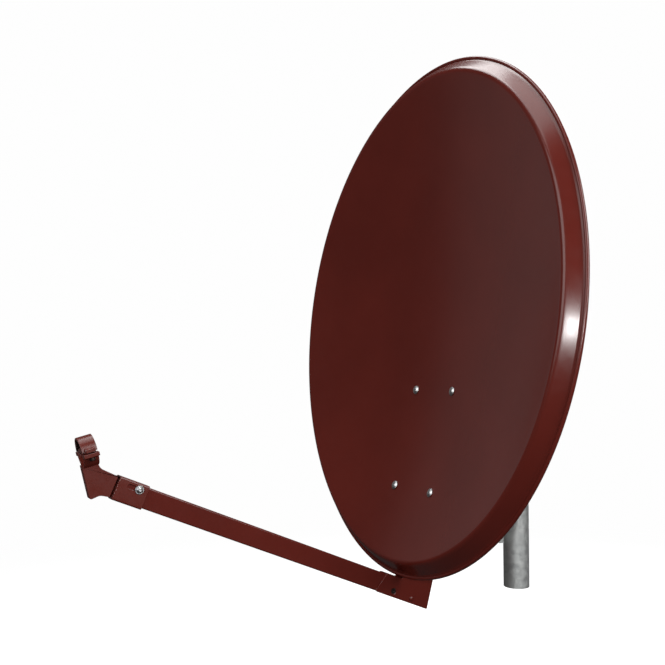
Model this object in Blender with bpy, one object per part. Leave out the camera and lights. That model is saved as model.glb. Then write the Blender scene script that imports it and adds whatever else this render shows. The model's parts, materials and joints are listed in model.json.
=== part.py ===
"""An offset satellite dish on its mast stub.

A pressed steel reflector is bolted to a tilting channel. The channel hangs between the cheeks of a galvanised
bracket that two U-bolts hold on the mast. A feed arm folds down from the foot of the channel, and its tip carries
the sliding holder and the ring clamp for a 40 mm converter.

The frame: metres, +Z up, the mast's axis is Z, its lower end is at the origin, and the dish looks towards -Y.
"""

import math

import bmesh
import bpy
from mathutils import Matrix, Vector

GAP = 0.0003  # clearance between touching pieces
SLOT_PLAY = 0.0004  # round a fastener in its slot

# Radii of the fasteners' shanks, and the widths of their hexagons
M5 = 0.0025
M6 = 0.003
M8 = 0.004
M6_HEXAGON = 0.010
M8_HEXAGON = 0.013
M6_NUT = 0.0050  # height
M8_NUT = 0.0065
M6_FLANGE = 0.0065  # radius

# Mast
MAST_RADIUS = 0.024
MAST_WALL = 0.002
MAST_LENGTH = 0.315

# Reflector: a paraboloid cut by a plane, so that its edge is an ellipse
HALF_WIDTH = 0.398  # of the crease between the bowl and the rim
HEIGHT_RATIO = 1.09  # the crease is taller than wide
FOCAL_LENGTH = 0.482
DISH_CENTRE = Vector((0, -0.2416, 0.5087))
TILT_BACK = 5.5  # degrees from upright to the crease's plane
BORESIGHT_ELEVATION = 28.9  # degrees
SHEET = 0.0012
CREASE_ROUND = 0.0064  # how far from the crease its rounding starts
RIM_OUT = 0.0270  # rim's reach beyond the crease
RIM_BACK = 0.0235  # depth of the bead's centre behind the crease
BEAD_RADIUS = 0.0032
RIM_SEGMENTS = 56
BOWL_RINGS = 9

# Bolts that hold the reflector
BOLT_X = 0.0577
BOLT_DOWN = (0.1027, 0.2929)  # below the dish's centre, in the crease's plane
# Along each bolt, from the bowl's front surface
BOSS_FRONT = -(SHEET + GAP)
BOSS_BACK = -0.0130
WASHER_BACK = BOSS_BACK - GAP - 0.0014
NUT_BACK = WASHER_BACK - GAP - M6_NUT

# Tilting channel, placed by its lean and by the lower reflector bolts
CHANNEL_LEAN = 15.1
CHANNEL_FOOT = (-0.2320, 0.1960)
CHANNEL_OUTER = 0.0125
CHANNEL_INNER = 0.0105
CHANNEL_DEPTH = 0.076
PLATE_FRONT = 0.008
PLATE_BACK = 0.0105
PLATE_HALF_WIDTH = 0.075
PLATE_LOW = -0.022
PLATE_HIGH = 0.205
BOSS_RADIUS = 0.011
SOCKET_PLAY = 0.0008  # under the arm
PIVOT_UP = 0.105  # elevation pivot, up the channel
PIVOT_DEPTH = 0.042
LOCK_RADIUS = 0.060  # from the pivot down to the elevation lock bolt
ELEVATION_LOW = -19
ELEVATION_HIGH = 21

# Mast bracket
CHEEK_INNER = CHANNEL_OUTER + GAP
CHEEK_OUTER = CHEEK_INNER + 0.0025
WEB_FRONT = -0.0435
WEB_BACK = -0.0410
WEB_HALF_WIDTH = 0.042
BRACKET_FOOT = 0.087
BRACKET_TOP = 0.290
U_BOLT_HEIGHTS = (0.196, 0.262)
U_BOLT_X = 0.0285
U_BOLT_TIP = WEB_FRONT - 0.0150
U_WASHER_FRONT = WEB_FRONT - GAP - 0.0016
LIGHTENING_HOLE = (-0.094, 0.236, 0.017)  # centre in Y and Z, and radius

# Feed arm
ARM_ORIGIN = (-0.4377, 0.0987)  # a point on its centre line
ARM_LEAN = 22.6
ARM_HALF_WIDTH = 0.010
ARM_HALF_HEIGHT = 0.016
ARM_WALL = 0.0015
ARM_TIP = -0.331
FOLD_PIVOT = (0.2155, -0.0085)
ARM_LOCK = (0.1755, -0.0065)
ARM_TAIL = FOLD_PIVOT[0] + 0.026

# Converter holder
SLEEVE = (-0.3460, -0.2980)
SLEEVE_OUTER = (0.0125, 0.0184)  # half width and half height
NECK_HALF_WIDTH = 0.0085
HOLDER_SCREW = (-0.3120, 0.0087)
SLOT = (-0.3277, -0.3078)  # centres of the slot's round ends
RING_CENTRE = (-0.7980, 0.2865)
RING_LEAN = -15
RING_BORE = 0.020
RING_OUTER = 0.0237
RING_HALF_LENGTH = 0.0112
EAR_X = 0.0285
EAR_REACH = 0.0335
EAR_HALF_LENGTH = 0.0070  # of the cap's ears, along the bore
CRADLE_EAR = (-0.0066, 0.0060)  # bottom and top of the bar that makes the cradle's ears
CAP_EAR = (-0.0060, 0.0068)
CAP_JOINT = 0.0012  # from the bore's centre up to the cap's joint face
CRADLE_JOINT = -0.0006


def side_frame(y, z, lean=0.0):
    """Local x runs back, y up and z to +X, turned by lean degrees so that the top leans back."""
    turn = math.radians(lean)
    back = Vector((0, math.cos(turn), -math.sin(turn)))
    up = Vector((0, math.sin(turn), math.cos(turn)))
    return frame_of((0, y, z), back, up, Vector((1, 0, 0)))


def frame_of(origin, x, y, z):
    rotation = Matrix((x, y, z)).transposed().to_4x4()
    return Matrix.Translation(origin) @ rotation


def across_at(place):
    """A frame across the dish at this place: z runs to +X."""
    return side_frame(place.y, place.z)


def quarter_turn(axis, turns=1):
    return Matrix.Rotation(math.radians(90 * turns), 4, axis)


WORLD_SIDE = side_frame(0, 0)
CHANNEL = side_frame(*CHANNEL_FOOT, CHANNEL_LEAN)
ARM = side_frame(*ARM_ORIGIN, ARM_LEAN)
RING = side_frame(*RING_CENTRE, RING_LEAN)
# The section of the ring: local x runs to +X, y up and z forward along the bore
RING_SECTION = RING @ quarter_turn("Y", -1)
# The section of the arm: local x runs up, y to +X and z along the arm towards its tail
ARM_SECTION = ARM @ quarter_turn("Y") @ quarter_turn("Z")
# Local x runs to +X, y up and z forward, so that a profile faces the dish
FACING_FRONT = frame_of((0, 0, 0), Vector((1, 0, 0)), Vector((0, 0, 1)), Vector((0, -1, 0)))
UPRIGHT = Matrix.Identity(4)

ELEVATION_AXIS = CHANNEL @ Vector((PIVOT_DEPTH, PIVOT_UP, 0))
LOCK_AXIS = CHANNEL @ Vector((PIVOT_DEPTH, PIVOT_UP - LOCK_RADIUS, 0))
FOLD_AXIS = ARM @ Vector((*FOLD_PIVOT, 0))
ARM_LOCK_AXIS = ARM @ Vector((*ARM_LOCK, 0))
HOLDER_SCREW_AXIS = ARM @ Vector((*HOLDER_SCREW, 0))


# Outlines

def arc(centre, radius, start, end, steps):
    """Points on an arc, with its angles in degrees."""
    angles = [math.radians(start + (end - start) * i / steps) for i in range(steps + 1)]
    return [(centre[0] + radius * math.cos(a), centre[1] + radius * math.sin(a)) for a in angles]


def rounded(corners, radius, steps=3):
    """The outline of these corners, each rounded by radius, or by its own where radius is a list."""
    points = []
    for i, corner in enumerate(corners):
        here = Vector(corner)
        to_last = (Vector(corners[i - 1]) - here).normalized()
        to_next = (Vector(corners[(i + 1) % len(corners)]) - here).normalized()
        size = radius[i] if isinstance(radius, (list, tuple)) else radius
        if size == 0:
            points.append(tuple(here))
            continue
        half = to_last.angle(to_next) / 2
        centre = here + (to_last + to_next).normalized() * size / math.sin(half)
        start = here + to_last * size / math.tan(half) - centre
        end = here + to_next * size / math.tan(half) - centre
        for step in range(steps + 1):
            spoke = start.lerp(end, step / steps).normalized() * size
            points.append(tuple(centre + spoke))
    return points


def hull(points):
    """The convex outline around these points, anticlockwise."""
    ordered = sorted(set(points))

    def chain(sequence):
        kept = []
        for point in sequence:
            while len(kept) > 1 and turn_of(kept[-2], kept[-1], point) <= 1e-12:
                kept.pop()
            kept.append(point)
        return kept[:-1]

    return chain(ordered) + chain(ordered[::-1])


def turn_of(a, b, c):
    return (b[0] - a[0]) * (c[1] - a[1]) - (b[1] - a[1]) * (c[0] - a[0])


def slot_outline(start, end, radius, steps=6):
    """A straight slot with round ends at start and end."""
    along = math.degrees(math.atan2(end[1] - start[1], end[0] - start[0]))
    head = arc(end, radius, along - 90, along + 90, steps)
    return head + arc(start, radius, along + 90, along + 270, steps)


def arc_slot_outline(centre, radius, start, end, half_width, steps=12):
    """A curved slot about centre, with round ends at start and end, in degrees."""
    first, last = (arc(centre, radius, angle, angle, 1)[0] for angle in (start, end))
    outer = arc(centre, radius + half_width, start, end, steps)
    inner = arc(centre, radius - half_width, end, start, steps)
    head = arc(last, half_width, end, end + 180, 5)[1:-1]
    tail = arc(first, half_width, start + 180, start + 360, 5)[1:-1]
    return outer + head + inner + tail


# Solids, each made in world coordinates

def finished_mesh(name, mesh_builder):
    bmesh.ops.remove_doubles(mesh_builder, verts=mesh_builder.verts, dist=1e-6)
    bmesh.ops.recalc_face_normals(mesh_builder, faces=mesh_builder.faces)
    mesh = bpy.data.meshes.new(name)
    mesh_builder.to_mesh(mesh)
    mesh_builder.free()
    mesh.shade_smooth()
    mesh.set_sharp_from_angle(angle=math.radians(32))
    shape = bpy.data.objects.new(name, mesh)
    bpy.context.scene.collection.objects.link(shape)
    return shape


def prism(outline, low, high, frame, name="prism"):
    """The outline in the frame's x and y, from low to high along its z."""
    builder = bmesh.new()
    bottom = [builder.verts.new(frame @ Vector((x, y, low))) for x, y in outline]
    top = [builder.verts.new(frame @ Vector((x, y, high))) for x, y in outline]
    builder.faces.new(bottom)
    builder.faces.new(top)
    for i in range(len(outline)):
        j = (i + 1) % len(outline)
        builder.faces.new((bottom[i], bottom[j], top[j], top[i]))
    return finished_mesh(name, builder)


def block(x, y, z, frame, name="block"):
    """A box between the pairs x, y and z of the frame."""
    outline = [(x[0], y[0]), (x[1], y[0]), (x[1], y[1]), (x[0], y[1])]
    return prism(outline, z[0], z[1], frame, name)


def lathe(profile, frame, segments=16, closed=False, name="lathe"):
    """Turns the profile's (radius, height) points about the frame's z axis."""
    builder = bmesh.new()
    rings = []
    for radius, height in profile:
        if radius == 0:
            rings.append([builder.verts.new(frame @ Vector((0, 0, height)))] * segments)
            continue
        spokes = arc((0, 0), radius, 0, 360, segments)[:-1]
        rings.append([builder.verts.new(frame @ Vector((x, y, height))) for x, y in spokes])
    if closed:
        rings.append(rings[0])
    for lower, upper in zip(rings, rings[1:]):
        for i in range(segments):
            j = (i + 1) % segments
            corners = list(dict.fromkeys((lower[i], lower[j], upper[j], upper[i])))
            if len(corners) > 2:
                builder.faces.new(corners)
    return finished_mesh(name, builder)


def rod(radius, low, high, frame, segments=16, name="rod"):
    return lathe([(0, low), (radius, low), (radius, high), (0, high)], frame, segments, name=name)


def ring(inner, outer, low, high, frame, segments=16, name="ring"):
    profile = [(inner, low), (outer, low), (outer, high), (inner, high)]
    return lathe(profile, frame, segments, closed=True, name=name)


def hex_prism(across_flats, low, high, frame, name="hexagon"):
    corners = arc((0, 0), across_flats / math.sqrt(3), 0, 360, 6)[:-1]
    return prism(corners, low, high, frame, name)


def combine(shape, others, operation):
    """Applies one exact Boolean for each of the others, and removes them."""
    for other in others:
        modifier = shape.modifiers.new("combine", "BOOLEAN")
        modifier.operation = operation
        modifier.solver = "EXACT"
        modifier.object = other
        evaluated = shape.evaluated_get(bpy.context.evaluated_depsgraph_get())
        mesh = bpy.data.meshes.new_from_object(evaluated)
        shape.modifiers.clear()
        shape.data = welded(mesh)
        bpy.data.objects.remove(other)
    return shape


def welded(mesh):
    """Merges the doubled points that a Boolean leaves along its seams."""
    builder = bmesh.new()
    builder.from_mesh(mesh)
    bmesh.ops.remove_doubles(builder, verts=builder.verts, dist=5e-6)
    bmesh.ops.dissolve_degenerate(builder, edges=builder.edges, dist=5e-6)
    builder.to_mesh(mesh)
    builder.free()
    return mesh


def join(shape, others):
    return combine(shape, others, "UNION")


def cut(shape, others):
    return combine(shape, others, "DIFFERENCE")


def nut(across_flats, bore, low, high, frame, flange=0.0):
    """A hexagon nut; where a flange's radius is given, it is on the nut's high end, which is its seat."""
    shape = hex_prism(across_flats, low, high, frame)
    if flange:
        rise = (high - low) * 0.25
        brim = high - rise * 0.5
        skirt = [(0, high), (flange, high), (flange, brim), (flange * 0.8, high - rise), (0, high - rise)]
        shape = join(shape, [lathe(skirt, frame)])
    return cut(shape, [rod(bore, low - 0.001, high + 0.001, frame)])


def hex_bolt(radius, across_flats, head_height, head_at, tip_at, frame):
    """A bolt whose head stands on head_at, away from its tip."""
    away = 1 if head_at > tip_at else -1
    head_top = head_at + away * head_height
    head = hex_prism(across_flats, min(head_at, head_top), max(head_at, head_top), frame)
    tip_bevel = tip_at + away * radius * 0.25
    shank = [(0, tip_at), (radius * 0.75, tip_at), (radius, tip_bevel), (radius, head_at + away * 0.001)]
    return join(head, [lathe(shank + [(0, head_at + away * 0.001)], frame)])


# The tree of joints and the finished pieces

def axis_empty(name, place, parent=None):
    empty = bpy.data.objects.new(name, None)
    empty.empty_display_size = 0.05
    bpy.context.scene.collection.objects.link(empty)
    empty["place"] = tuple(place)
    empty.parent = parent
    empty.location = Vector(place) - Vector(parent["place"]) if parent else Vector(place)
    return empty


def piece(name, shape, material, carrier):
    """Names a solid, gives it its material, and hangs it on the empty of the body that carries it."""
    shape.name = name
    shape.data.name = name
    shape.data.transform(Matrix.Translation(-Vector(carrier["place"])))
    shape.data.materials.clear()
    shape.data.materials.append(material)
    shape.data.shade_smooth()
    shape.data.set_sharp_from_angle(angle=math.radians(32))
    shape.parent = carrier
    return shape


def make_material(name, colour, roughness, metallic):
    material = bpy.data.materials.new(name)
    material.use_nodes = True
    shader = material.node_tree.nodes["Principled BSDF"]
    shader.inputs["Base Color"].default_value = (*colour, 1)
    shader.inputs["Roughness"].default_value = roughness
    shader.inputs["Metallic"].default_value = metallic
    material.diffuse_color = (*colour, 1)
    return material


# Reflector

def boresight():
    tilt = math.radians(BORESIGHT_ELEVATION)
    return Vector((0, -math.cos(tilt), math.sin(tilt)))


def crease_axes():
    """The up and the forward direction of the crease's plane."""
    tilt = math.radians(TILT_BACK)
    return Vector((0, math.sin(tilt), math.cos(tilt))), Vector((0, -math.cos(tilt), math.sin(tilt)))


def bowl_point(x, up):
    """The bowl's front surface, at x and at this height in the crease's plane."""
    upward, _ = crease_axes()
    depth = (HALF_WIDTH**2 - x**2 - (up / HEIGHT_RATIO) ** 2) / (4 * FOCAL_LENGTH)
    return DISH_CENTRE + Vector((x, 0, 0)) + upward * up - boresight() * depth


def bowl_normal(x, up):
    step = 0.001
    across = bowl_point(x + step, up) - bowl_point(x - step, up)
    along = bowl_point(x, up + step) - bowl_point(x, up - step)
    return across.cross(along).normalized()


def rim_point(angle, out, back):
    """A point beside the crease: out from it in its plane, and back behind it."""
    upward, forward = crease_axes()
    across = Vector((1, 0, 0))
    tall = HALF_WIDTH * HEIGHT_RATIO
    edge = across * HALF_WIDTH * math.cos(angle) + upward * tall * math.sin(angle)
    normal = (across * math.cos(angle) / HALF_WIDTH + upward * math.sin(angle) / tall).normalized()
    return DISH_CENTRE + edge + normal * out - forward * back


def rim_profile():
    """(out, back) points from the rounded crease down the flare and round the rolled bead."""
    bead = (RIM_OUT - BEAD_RADIUS, RIM_BACK)
    flare_end = (bead[0] - 0.0056, bead[1] - 0.0035)
    halfway = (flare_end[0] * 0.60, flare_end[1] * 0.58)
    roll = arc((0, 0), BEAD_RADIUS, 150, -120, 6)
    return [halfway, flare_end] + [(bead[0] + x, bead[1] - y) for x, y in roll]


def reflector_ring(angle):
    """All points on one radius of the reflector's front, from near the middle to the bead's end."""
    last = 1 - CREASE_ROUND / HALF_WIDTH
    tall = HALF_WIDTH * HEIGHT_RATIO
    shares = [last * (i + 1) / BOWL_RINGS for i in range(BOWL_RINGS)]
    points = [bowl_point(HALF_WIDTH * s * math.cos(angle), tall * s * math.sin(angle)) for s in shares]
    profile = rim_profile()
    flare = Vector(profile[0]).normalized() * CREASE_ROUND
    start = points[-1]
    crease = rim_point(angle, 0, 0)
    end = rim_point(angle, *flare)
    for share in (0.33, 0.67, 1.0):
        points.append(start.lerp(crease, share).lerp(crease.lerp(end, share), share))
    return points + [rim_point(angle, *place) for place in profile]


def make_reflector():
    builder = bmesh.new()
    middle = builder.verts.new(bowl_point(0, 0))
    columns = []
    for i in range(RIM_SEGMENTS):
        angle = 2 * math.pi * i / RIM_SEGMENTS
        columns.append([builder.verts.new(point) for point in reflector_ring(angle)])
    for column, following in zip(columns, columns[1:] + columns[:1]):
        builder.faces.new((middle, column[0], following[0]))
        for i in range(len(column) - 1):
            builder.faces.new((column[i], column[i + 1], following[i + 1], following[i]))
    mesh = bpy.data.meshes.new("reflector")
    builder.to_mesh(mesh)
    builder.free()
    shape = bpy.data.objects.new("reflector", mesh)
    bpy.context.scene.collection.objects.link(shape)
    thickness = shape.modifiers.new("sheet", "SOLIDIFY")
    thickness.thickness = SHEET
    thickness.offset = -1
    thickness.use_even_offset = True
    holes = [rod(M6 + SLOT_PLAY, -0.004, 0.004, frame, 12) for frame in bolt_frames()]
    return cut(shape, holes)


def bolt_frames():
    """A frame on the bowl's surface for each reflector bolt, with z pointing out of its front."""
    frames = []
    for down in BOLT_DOWN:
        for x in (-BOLT_X, BOLT_X):
            forward = bowl_normal(x, -down)
            right = Vector((1, 0, 0))
            up = forward.cross(right).normalized()
            frames.append(frame_of(bowl_point(x, -down), up.cross(forward), up, forward))
    return frames


def make_carriage_bolt(frame):
    head = 0.0078
    seat = 0.0005
    brim = seat + 0.0006
    dome = [(head, brim)] + [(head * math.cos(a), brim + 0.0030 * math.sin(a)) for a in (0.45, 0.9, 1.25)]
    tip = NUT_BACK - 0.0035
    shank = [(0, tip), (M6 * 0.8, tip), (M6, tip + 0.0007), (M6, seat), (head, seat)]
    return lathe(shank + dome + [(0, seat + 0.0036)], frame)


def reflector_fasteners(steel, carrier):
    bore = M6 + GAP
    for number, frame in enumerate(bolt_frames(), 1):
        piece(f"reflector_bolt_{number}", make_carriage_bolt(frame), steel, carrier)
        piece(f"reflector_washer_{number}", ring(bore, 0.0070, WASHER_BACK, BOSS_BACK - GAP, frame), steel, carrier)
        shape = nut(M6_HEXAGON, bore, NUT_BACK, WASHER_BACK - GAP, frame)
        piece(f"reflector_nut_{number}", shape, steel, carrier)


# Tilting channel

def channel_point(depth, up):
    """A point of the channel's own frame, in world Y and Z."""
    place = CHANNEL @ Vector((depth, up, 0))
    return place.y, place.z


def socket_bottom():
    """The socket's two lower corners: its bottom edge runs just under the arm."""
    level = -ARM_HALF_HEIGHT - SOCKET_PLAY
    front = ARM @ Vector((0.1405, level, 0))
    slope = ARM.to_3x3() @ Vector((1, 0, 0))
    back = CHANNEL.inverted() @ front
    run = (CHANNEL_DEPTH - back.x) / (CHANNEL.inverted().to_3x3() @ slope).x
    corner = front + slope * run
    return (front.y, front.z), (corner.y, corner.z)


def make_channel():
    front_low, back_low = socket_bottom()
    above_arm = ARM_HALF_HEIGHT + 0.0018
    rim_low = ARM @ Vector((0.1760, above_arm, 0))
    front_high = ARM @ Vector((0.1520, above_arm, 0))
    corners = [
        front_low,
        back_low,
        channel_point(CHANNEL_DEPTH, 0.020),
        channel_point(0.058, 0.150),
        channel_point(PLATE_BACK - 0.001, 0.150),
        channel_point(PLATE_BACK - 0.001, -0.020),
        (rim_low.y + 0.010, rim_low.z - 0.004),
        (front_high.y, front_high.z),
    ]
    outline = rounded(corners, [0.003, 0.002, 0.012, 0.012, 0, 0, 0.004, 0.003])
    cheeks = [
        prism(outline, CHANNEL_INNER, CHANNEL_OUTER, WORLD_SIDE),
        prism(outline, -CHANNEL_OUTER, -CHANNEL_INNER, WORLD_SIDE),
    ]
    web_low = (CHANNEL.inverted() @ Vector((0, *back_low))).y
    web_depths = (CHANNEL_DEPTH - 0.002, CHANNEL_DEPTH)
    web_widths = (-CHANNEL_INNER - 0.001, CHANNEL_INNER + 0.001)
    web = block(web_depths, (web_low + 0.003, -0.010), web_widths, CHANNEL)
    half = PLATE_HALF_WIDTH
    plate_corners = [(half, PLATE_LOW), (half, PLATE_HIGH), (-half, PLATE_HIGH), (-half, PLATE_LOW)]
    plate_frame = CHANNEL @ quarter_turn("Y")
    plate = prism(rounded(plate_corners, 0.014), PLATE_FRONT, PLATE_BACK, plate_frame)
    bosses = [rod(BOSS_RADIUS, BOSS_BACK, BOSS_FRONT, frame) for frame in bolt_frames()]
    shape = join(plate, cheeks + [web] + bosses)
    bore = M6 + SLOT_PLAY
    holes = [rod(bore, BOSS_BACK - 0.002, BOSS_FRONT + 0.002, frame, 12) for frame in bolt_frames()]
    across = (-2 * CHANNEL_OUTER, 2 * CHANNEL_OUTER)
    # The lock bolt stays on the mast bracket, so the slot lets the channel turn past it
    first = -90 + ELEVATION_LOW - 1
    last = -90 + ELEVATION_HIGH + 1
    slot = arc_slot_outline((PIVOT_DEPTH, PIVOT_UP), LOCK_RADIUS, first, last, M8 + SLOT_PLAY)
    holes.append(prism(slot, *across, CHANNEL))
    for place, radius in ((ELEVATION_AXIS, M8), (FOLD_AXIS, M5), (ARM_LOCK_AXIS, M6)):
        holes.append(rod(radius + GAP, *across, across_at(place)))
    # A countersink for the arm's lock screw on the +X cheek
    above = CHANNEL_OUTER + 0.002
    sink = [(0, CHANNEL_INNER), (M6 + GAP, CHANNEL_INNER), (0.0053, CHANNEL_OUTER), (0.0053, above), (0, above)]
    holes.append(lathe(sink, across_at(ARM_LOCK_AXIS)))
    return cut(shape, holes)


# Mast bracket and its clamps

def make_mast_bracket():
    pivot = (ELEVATION_AXIS.y, ELEVATION_AXIS.z)
    lock = (LOCK_AXIS.y, LOCK_AXIS.z)
    foot = [(WEB_BACK, BRACKET_FOOT), (WEB_FRONT - 0.0075, BRACKET_FOOT), (WEB_BACK, BRACKET_TOP)]
    cheek_outline = hull(foot + arc(pivot, 0.012, 0, 340, 17) + arc(lock, 0.010, 0, 340, 17))
    cheeks = [
        prism(cheek_outline, CHEEK_INNER, CHEEK_OUTER, WORLD_SIDE),
        prism(cheek_outline, -CHEEK_OUTER, -CHEEK_INNER, WORLD_SIDE),
    ]
    half = CHEEK_OUTER - 0.0002
    shoulder = (0.150, 0.176)  # heights where the web starts to widen and where it is at its widest
    corners = [
        (-half, BRACKET_FOOT),
        (half, BRACKET_FOOT),
        (half, shoulder[0]),
        (WEB_HALF_WIDTH, shoulder[1]),
        (WEB_HALF_WIDTH, BRACKET_TOP),
        (-WEB_HALF_WIDTH, BRACKET_TOP),
        (-WEB_HALF_WIDTH, shoulder[1]),
        (-half, shoulder[0]),
    ]
    radii = [0, 0, 0.004, 0.006, 0.006, 0.006, 0.006, 0.004]
    web = prism(rounded(corners, radii), -WEB_BACK, -WEB_FRONT, FACING_FRONT)
    shape = join(web, cheeks)
    across = (-2 * CHEEK_OUTER, 2 * CHEEK_OUTER)
    holes = [rod(M8 + GAP, *across, side_frame(*place)) for place in (pivot, lock)]
    y, z, radius = LIGHTENING_HOLE
    holes.append(rod(radius, *across, side_frame(y, z), 24))
    for height in U_BOLT_HEIGHTS:
        for x in (-U_BOLT_X, U_BOLT_X):
            leg = FACING_FRONT @ Matrix.Translation((x, height, 0))
            holes.append(rod(M8 + GAP, -WEB_BACK - 0.01, -WEB_FRONT + 0.01, leg))
    return cut(shape, holes)


def make_saddle(height):
    """A block with a toothed V that grips the mast, bored for the U-bolt's legs."""
    # The V's flanks are at 45 degrees and touch the mast with their teeth
    corner = (MAST_RADIUS + GAP) * math.sqrt(2)
    front = WEB_BACK + GAP
    mouth = -0.0160
    half_width = 0.038
    half_height = 0.011
    teeth = 5
    tooth_depth = 0.0016
    apex = -corner - tooth_depth / 2
    pitch = (mouth - apex) / teeth
    notch = []
    for tooth in range(teeth):
        low = apex + pitch * tooth
        middle = low + pitch / 2
        notch.append((low + corner + tooth_depth, low))
        notch.append((middle + corner, middle))
    notch.append((mouth + corner + tooth_depth, mouth))
    right = [(0, front), (half_width, front), (half_width, mouth)] + notch[::-1]
    outline = right + [(-x, y) for x, y in right[:0:-1]]
    shape = prism(outline, height - half_height, height + half_height, UPRIGHT)
    legs = [FACING_FRONT @ Matrix.Translation((x, height, 0)) for x in (-U_BOLT_X, U_BOLT_X)]
    return cut(shape, [rod(M8 + GAP, 0, 0.06, leg) for leg in legs])


def make_u_bolt(height):
    """A round bar bent about the back of the mast, with both legs running to the bracket's front."""
    sides = 12
    bend = arc((0, 0), U_BOLT_X, 0, 180, 14)
    path = [(U_BOLT_X, U_BOLT_TIP), (U_BOLT_X, U_BOLT_TIP + 0.001), *bend]
    path += [(-U_BOLT_X, U_BOLT_TIP + 0.001), (-U_BOLT_X, U_BOLT_TIP)]
    builder = bmesh.new()
    rings = []
    for i, (x, y) in enumerate(path):
        before = Vector(path[max(i - 1, 0)])
        after = Vector(path[min(i + 1, len(path) - 1)])
        along = (after - before).normalized()
        out = Vector((along.y, -along.x, 0))
        radius = M8 * (0.8 if i in (0, len(path) - 1) else 1)
        spokes = arc((0, 0), radius, 0, 360, sides)[:-1]
        centre = Vector((x, y, height))
        rings.append([builder.verts.new(centre + out * p + Vector((0, 0, q))) for p, q in spokes])
    for first, second in zip(rings, rings[1:]):
        for i in range(sides):
            j = (i + 1) % sides
            builder.faces.new((first[i], first[j], second[j], second[i]))
    builder.faces.new(rings[0])
    builder.faces.new(rings[-1])
    return finished_mesh("u_bolt", builder)


def mast_fasteners(steel, carrier):
    seat = -U_WASHER_FRONT + GAP
    for label, height in zip(("lower", "upper"), U_BOLT_HEIGHTS):
        for side, x in (("left", -U_BOLT_X), ("right", U_BOLT_X)):
            leg = FACING_FRONT @ Matrix.Translation((x, height, 0))
            washer = ring(M8 + GAP, 0.0080, -WEB_FRONT + GAP, -U_WASHER_FRONT, leg)
            piece(f"{label}_u_bolt_washer_{side}", washer, steel, carrier)
            shape = nut(M8_HEXAGON, M8 + GAP, seat, seat + M8_NUT, leg)
            piece(f"{label}_u_bolt_nut_{side}", shape, steel, carrier)


def cross_bolt(name, place, steel, carrier):
    """A bolt across both cheeks with its washers, nut and the spacer that keeps the cheeks apart."""
    frame = across_at(place)
    washer_in = CHEEK_OUTER + GAP
    washer_out = washer_in + 0.0016
    seat = washer_out + GAP
    nut_out = seat + M8_NUT
    bolt = hex_bolt(M8, M8_HEXAGON, 0.0053, seat, -nut_out - 0.0035, frame)
    piece(f"{name}_bolt", bolt, steel, carrier)
    for side, low, high in (("right", washer_in, washer_out), ("left", -washer_out, -washer_in)):
        piece(f"{name}_washer_{side}", ring(M8 + GAP, 0.0082, low, high, frame), steel, carrier)
    piece(f"{name}_nut", nut(M8_HEXAGON, M8 + GAP, -nut_out, -seat, frame, 0.0085), steel, carrier)
    spacer = ring(M8 + GAP, 0.0065, -CHANNEL_INNER + GAP, CHANNEL_INNER - GAP, frame)
    piece(f"{name}_spacer", spacer, steel, carrier)


# Feed arm

def rounded_box_outline(half_width, half_height, radius):
    corners = [
        (-half_height, -half_width),
        (half_height, -half_width),
        (half_height, half_width),
        (-half_height, half_width),
    ]
    return rounded(corners, radius)


def make_feed_arm():
    outer = rounded_box_outline(ARM_HALF_WIDTH, ARM_HALF_HEIGHT, 0.0022)
    inner = rounded_box_outline(ARM_HALF_WIDTH - ARM_WALL, ARM_HALF_HEIGHT - ARM_WALL, 0.0012)
    shape = prism(outer, ARM_TIP, ARM_TAIL, ARM_SECTION)
    holes = [prism(inner, ARM_TIP - 0.01, ARM_TAIL + 0.01, ARM_SECTION)]
    across = (-2 * ARM_HALF_WIDTH, 2 * ARM_HALF_WIDTH)
    holes.append(rod(M5 + GAP, *across, across_at(FOLD_AXIS)))
    # A curved slot, open at the arm's top, lets the arm swing down past its lock screw
    reach = Vector(ARM_LOCK) - Vector(FOLD_PIVOT)
    at_rest = math.degrees(math.atan2(reach.y, reach.x))
    slot = arc_slot_outline(FOLD_PIVOT, reach.length, at_rest - 52, at_rest, M6 + SLOT_PLAY)
    holes.append(prism(slot, *across, ARM))
    holes.append(rod(M6 + GAP, *across, across_at(HOLDER_SCREW_AXIS)))
    return cut(shape, holes)


def make_rivet(frame):
    """A rivet across the socket, with a low round head on each cheek."""
    seat = CHANNEL_OUTER + GAP
    head = [(0.0046, seat), (0.0042, seat + 0.0012), (0.0026, seat + 0.0022), (0, seat + 0.0026)]
    side = [(M5, seat)] + head
    return lathe([(r, -h) for r, h in side[::-1]] + side, frame)


def arm_fasteners(steel, paint, carrier, arm_carrier):
    rivet_frame = across_at(FOLD_AXIS)
    piece("arm_pivot_rivet", make_rivet(rivet_frame), paint, carrier)
    inside = ARM_HALF_WIDTH - ARM_WALL - GAP
    sleeve = ring(M5 + GAP, 0.0045, -inside, inside, rivet_frame)
    piece("arm_pivot_sleeve", sleeve, steel, arm_carrier)
    frame = across_at(ARM_LOCK_AXIS)
    top = CHANNEL_OUTER - 0.0001
    nut_in = -CHANNEL_OUTER - GAP
    tip = nut_in - 0.0075
    cone_low = CHANNEL_INNER + 0.0002
    profile = [(0, tip), (M6 * 0.8, tip), (M6, tip + 0.0006), (M6, cone_low - GAP), (0.0049, top)]
    socket = [(0.0021, top), (0.0021, top - 0.0016), (0, top - 0.0016)]
    piece("arm_lock_screw", lathe(profile + socket, frame), steel, carrier)
    shape = nut(M6_HEXAGON, M6 + GAP, nut_in - M6_NUT, nut_in, frame, M6_FLANGE)
    piece("arm_lock_nut", shape, steel, carrier)


# Converter holder

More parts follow.
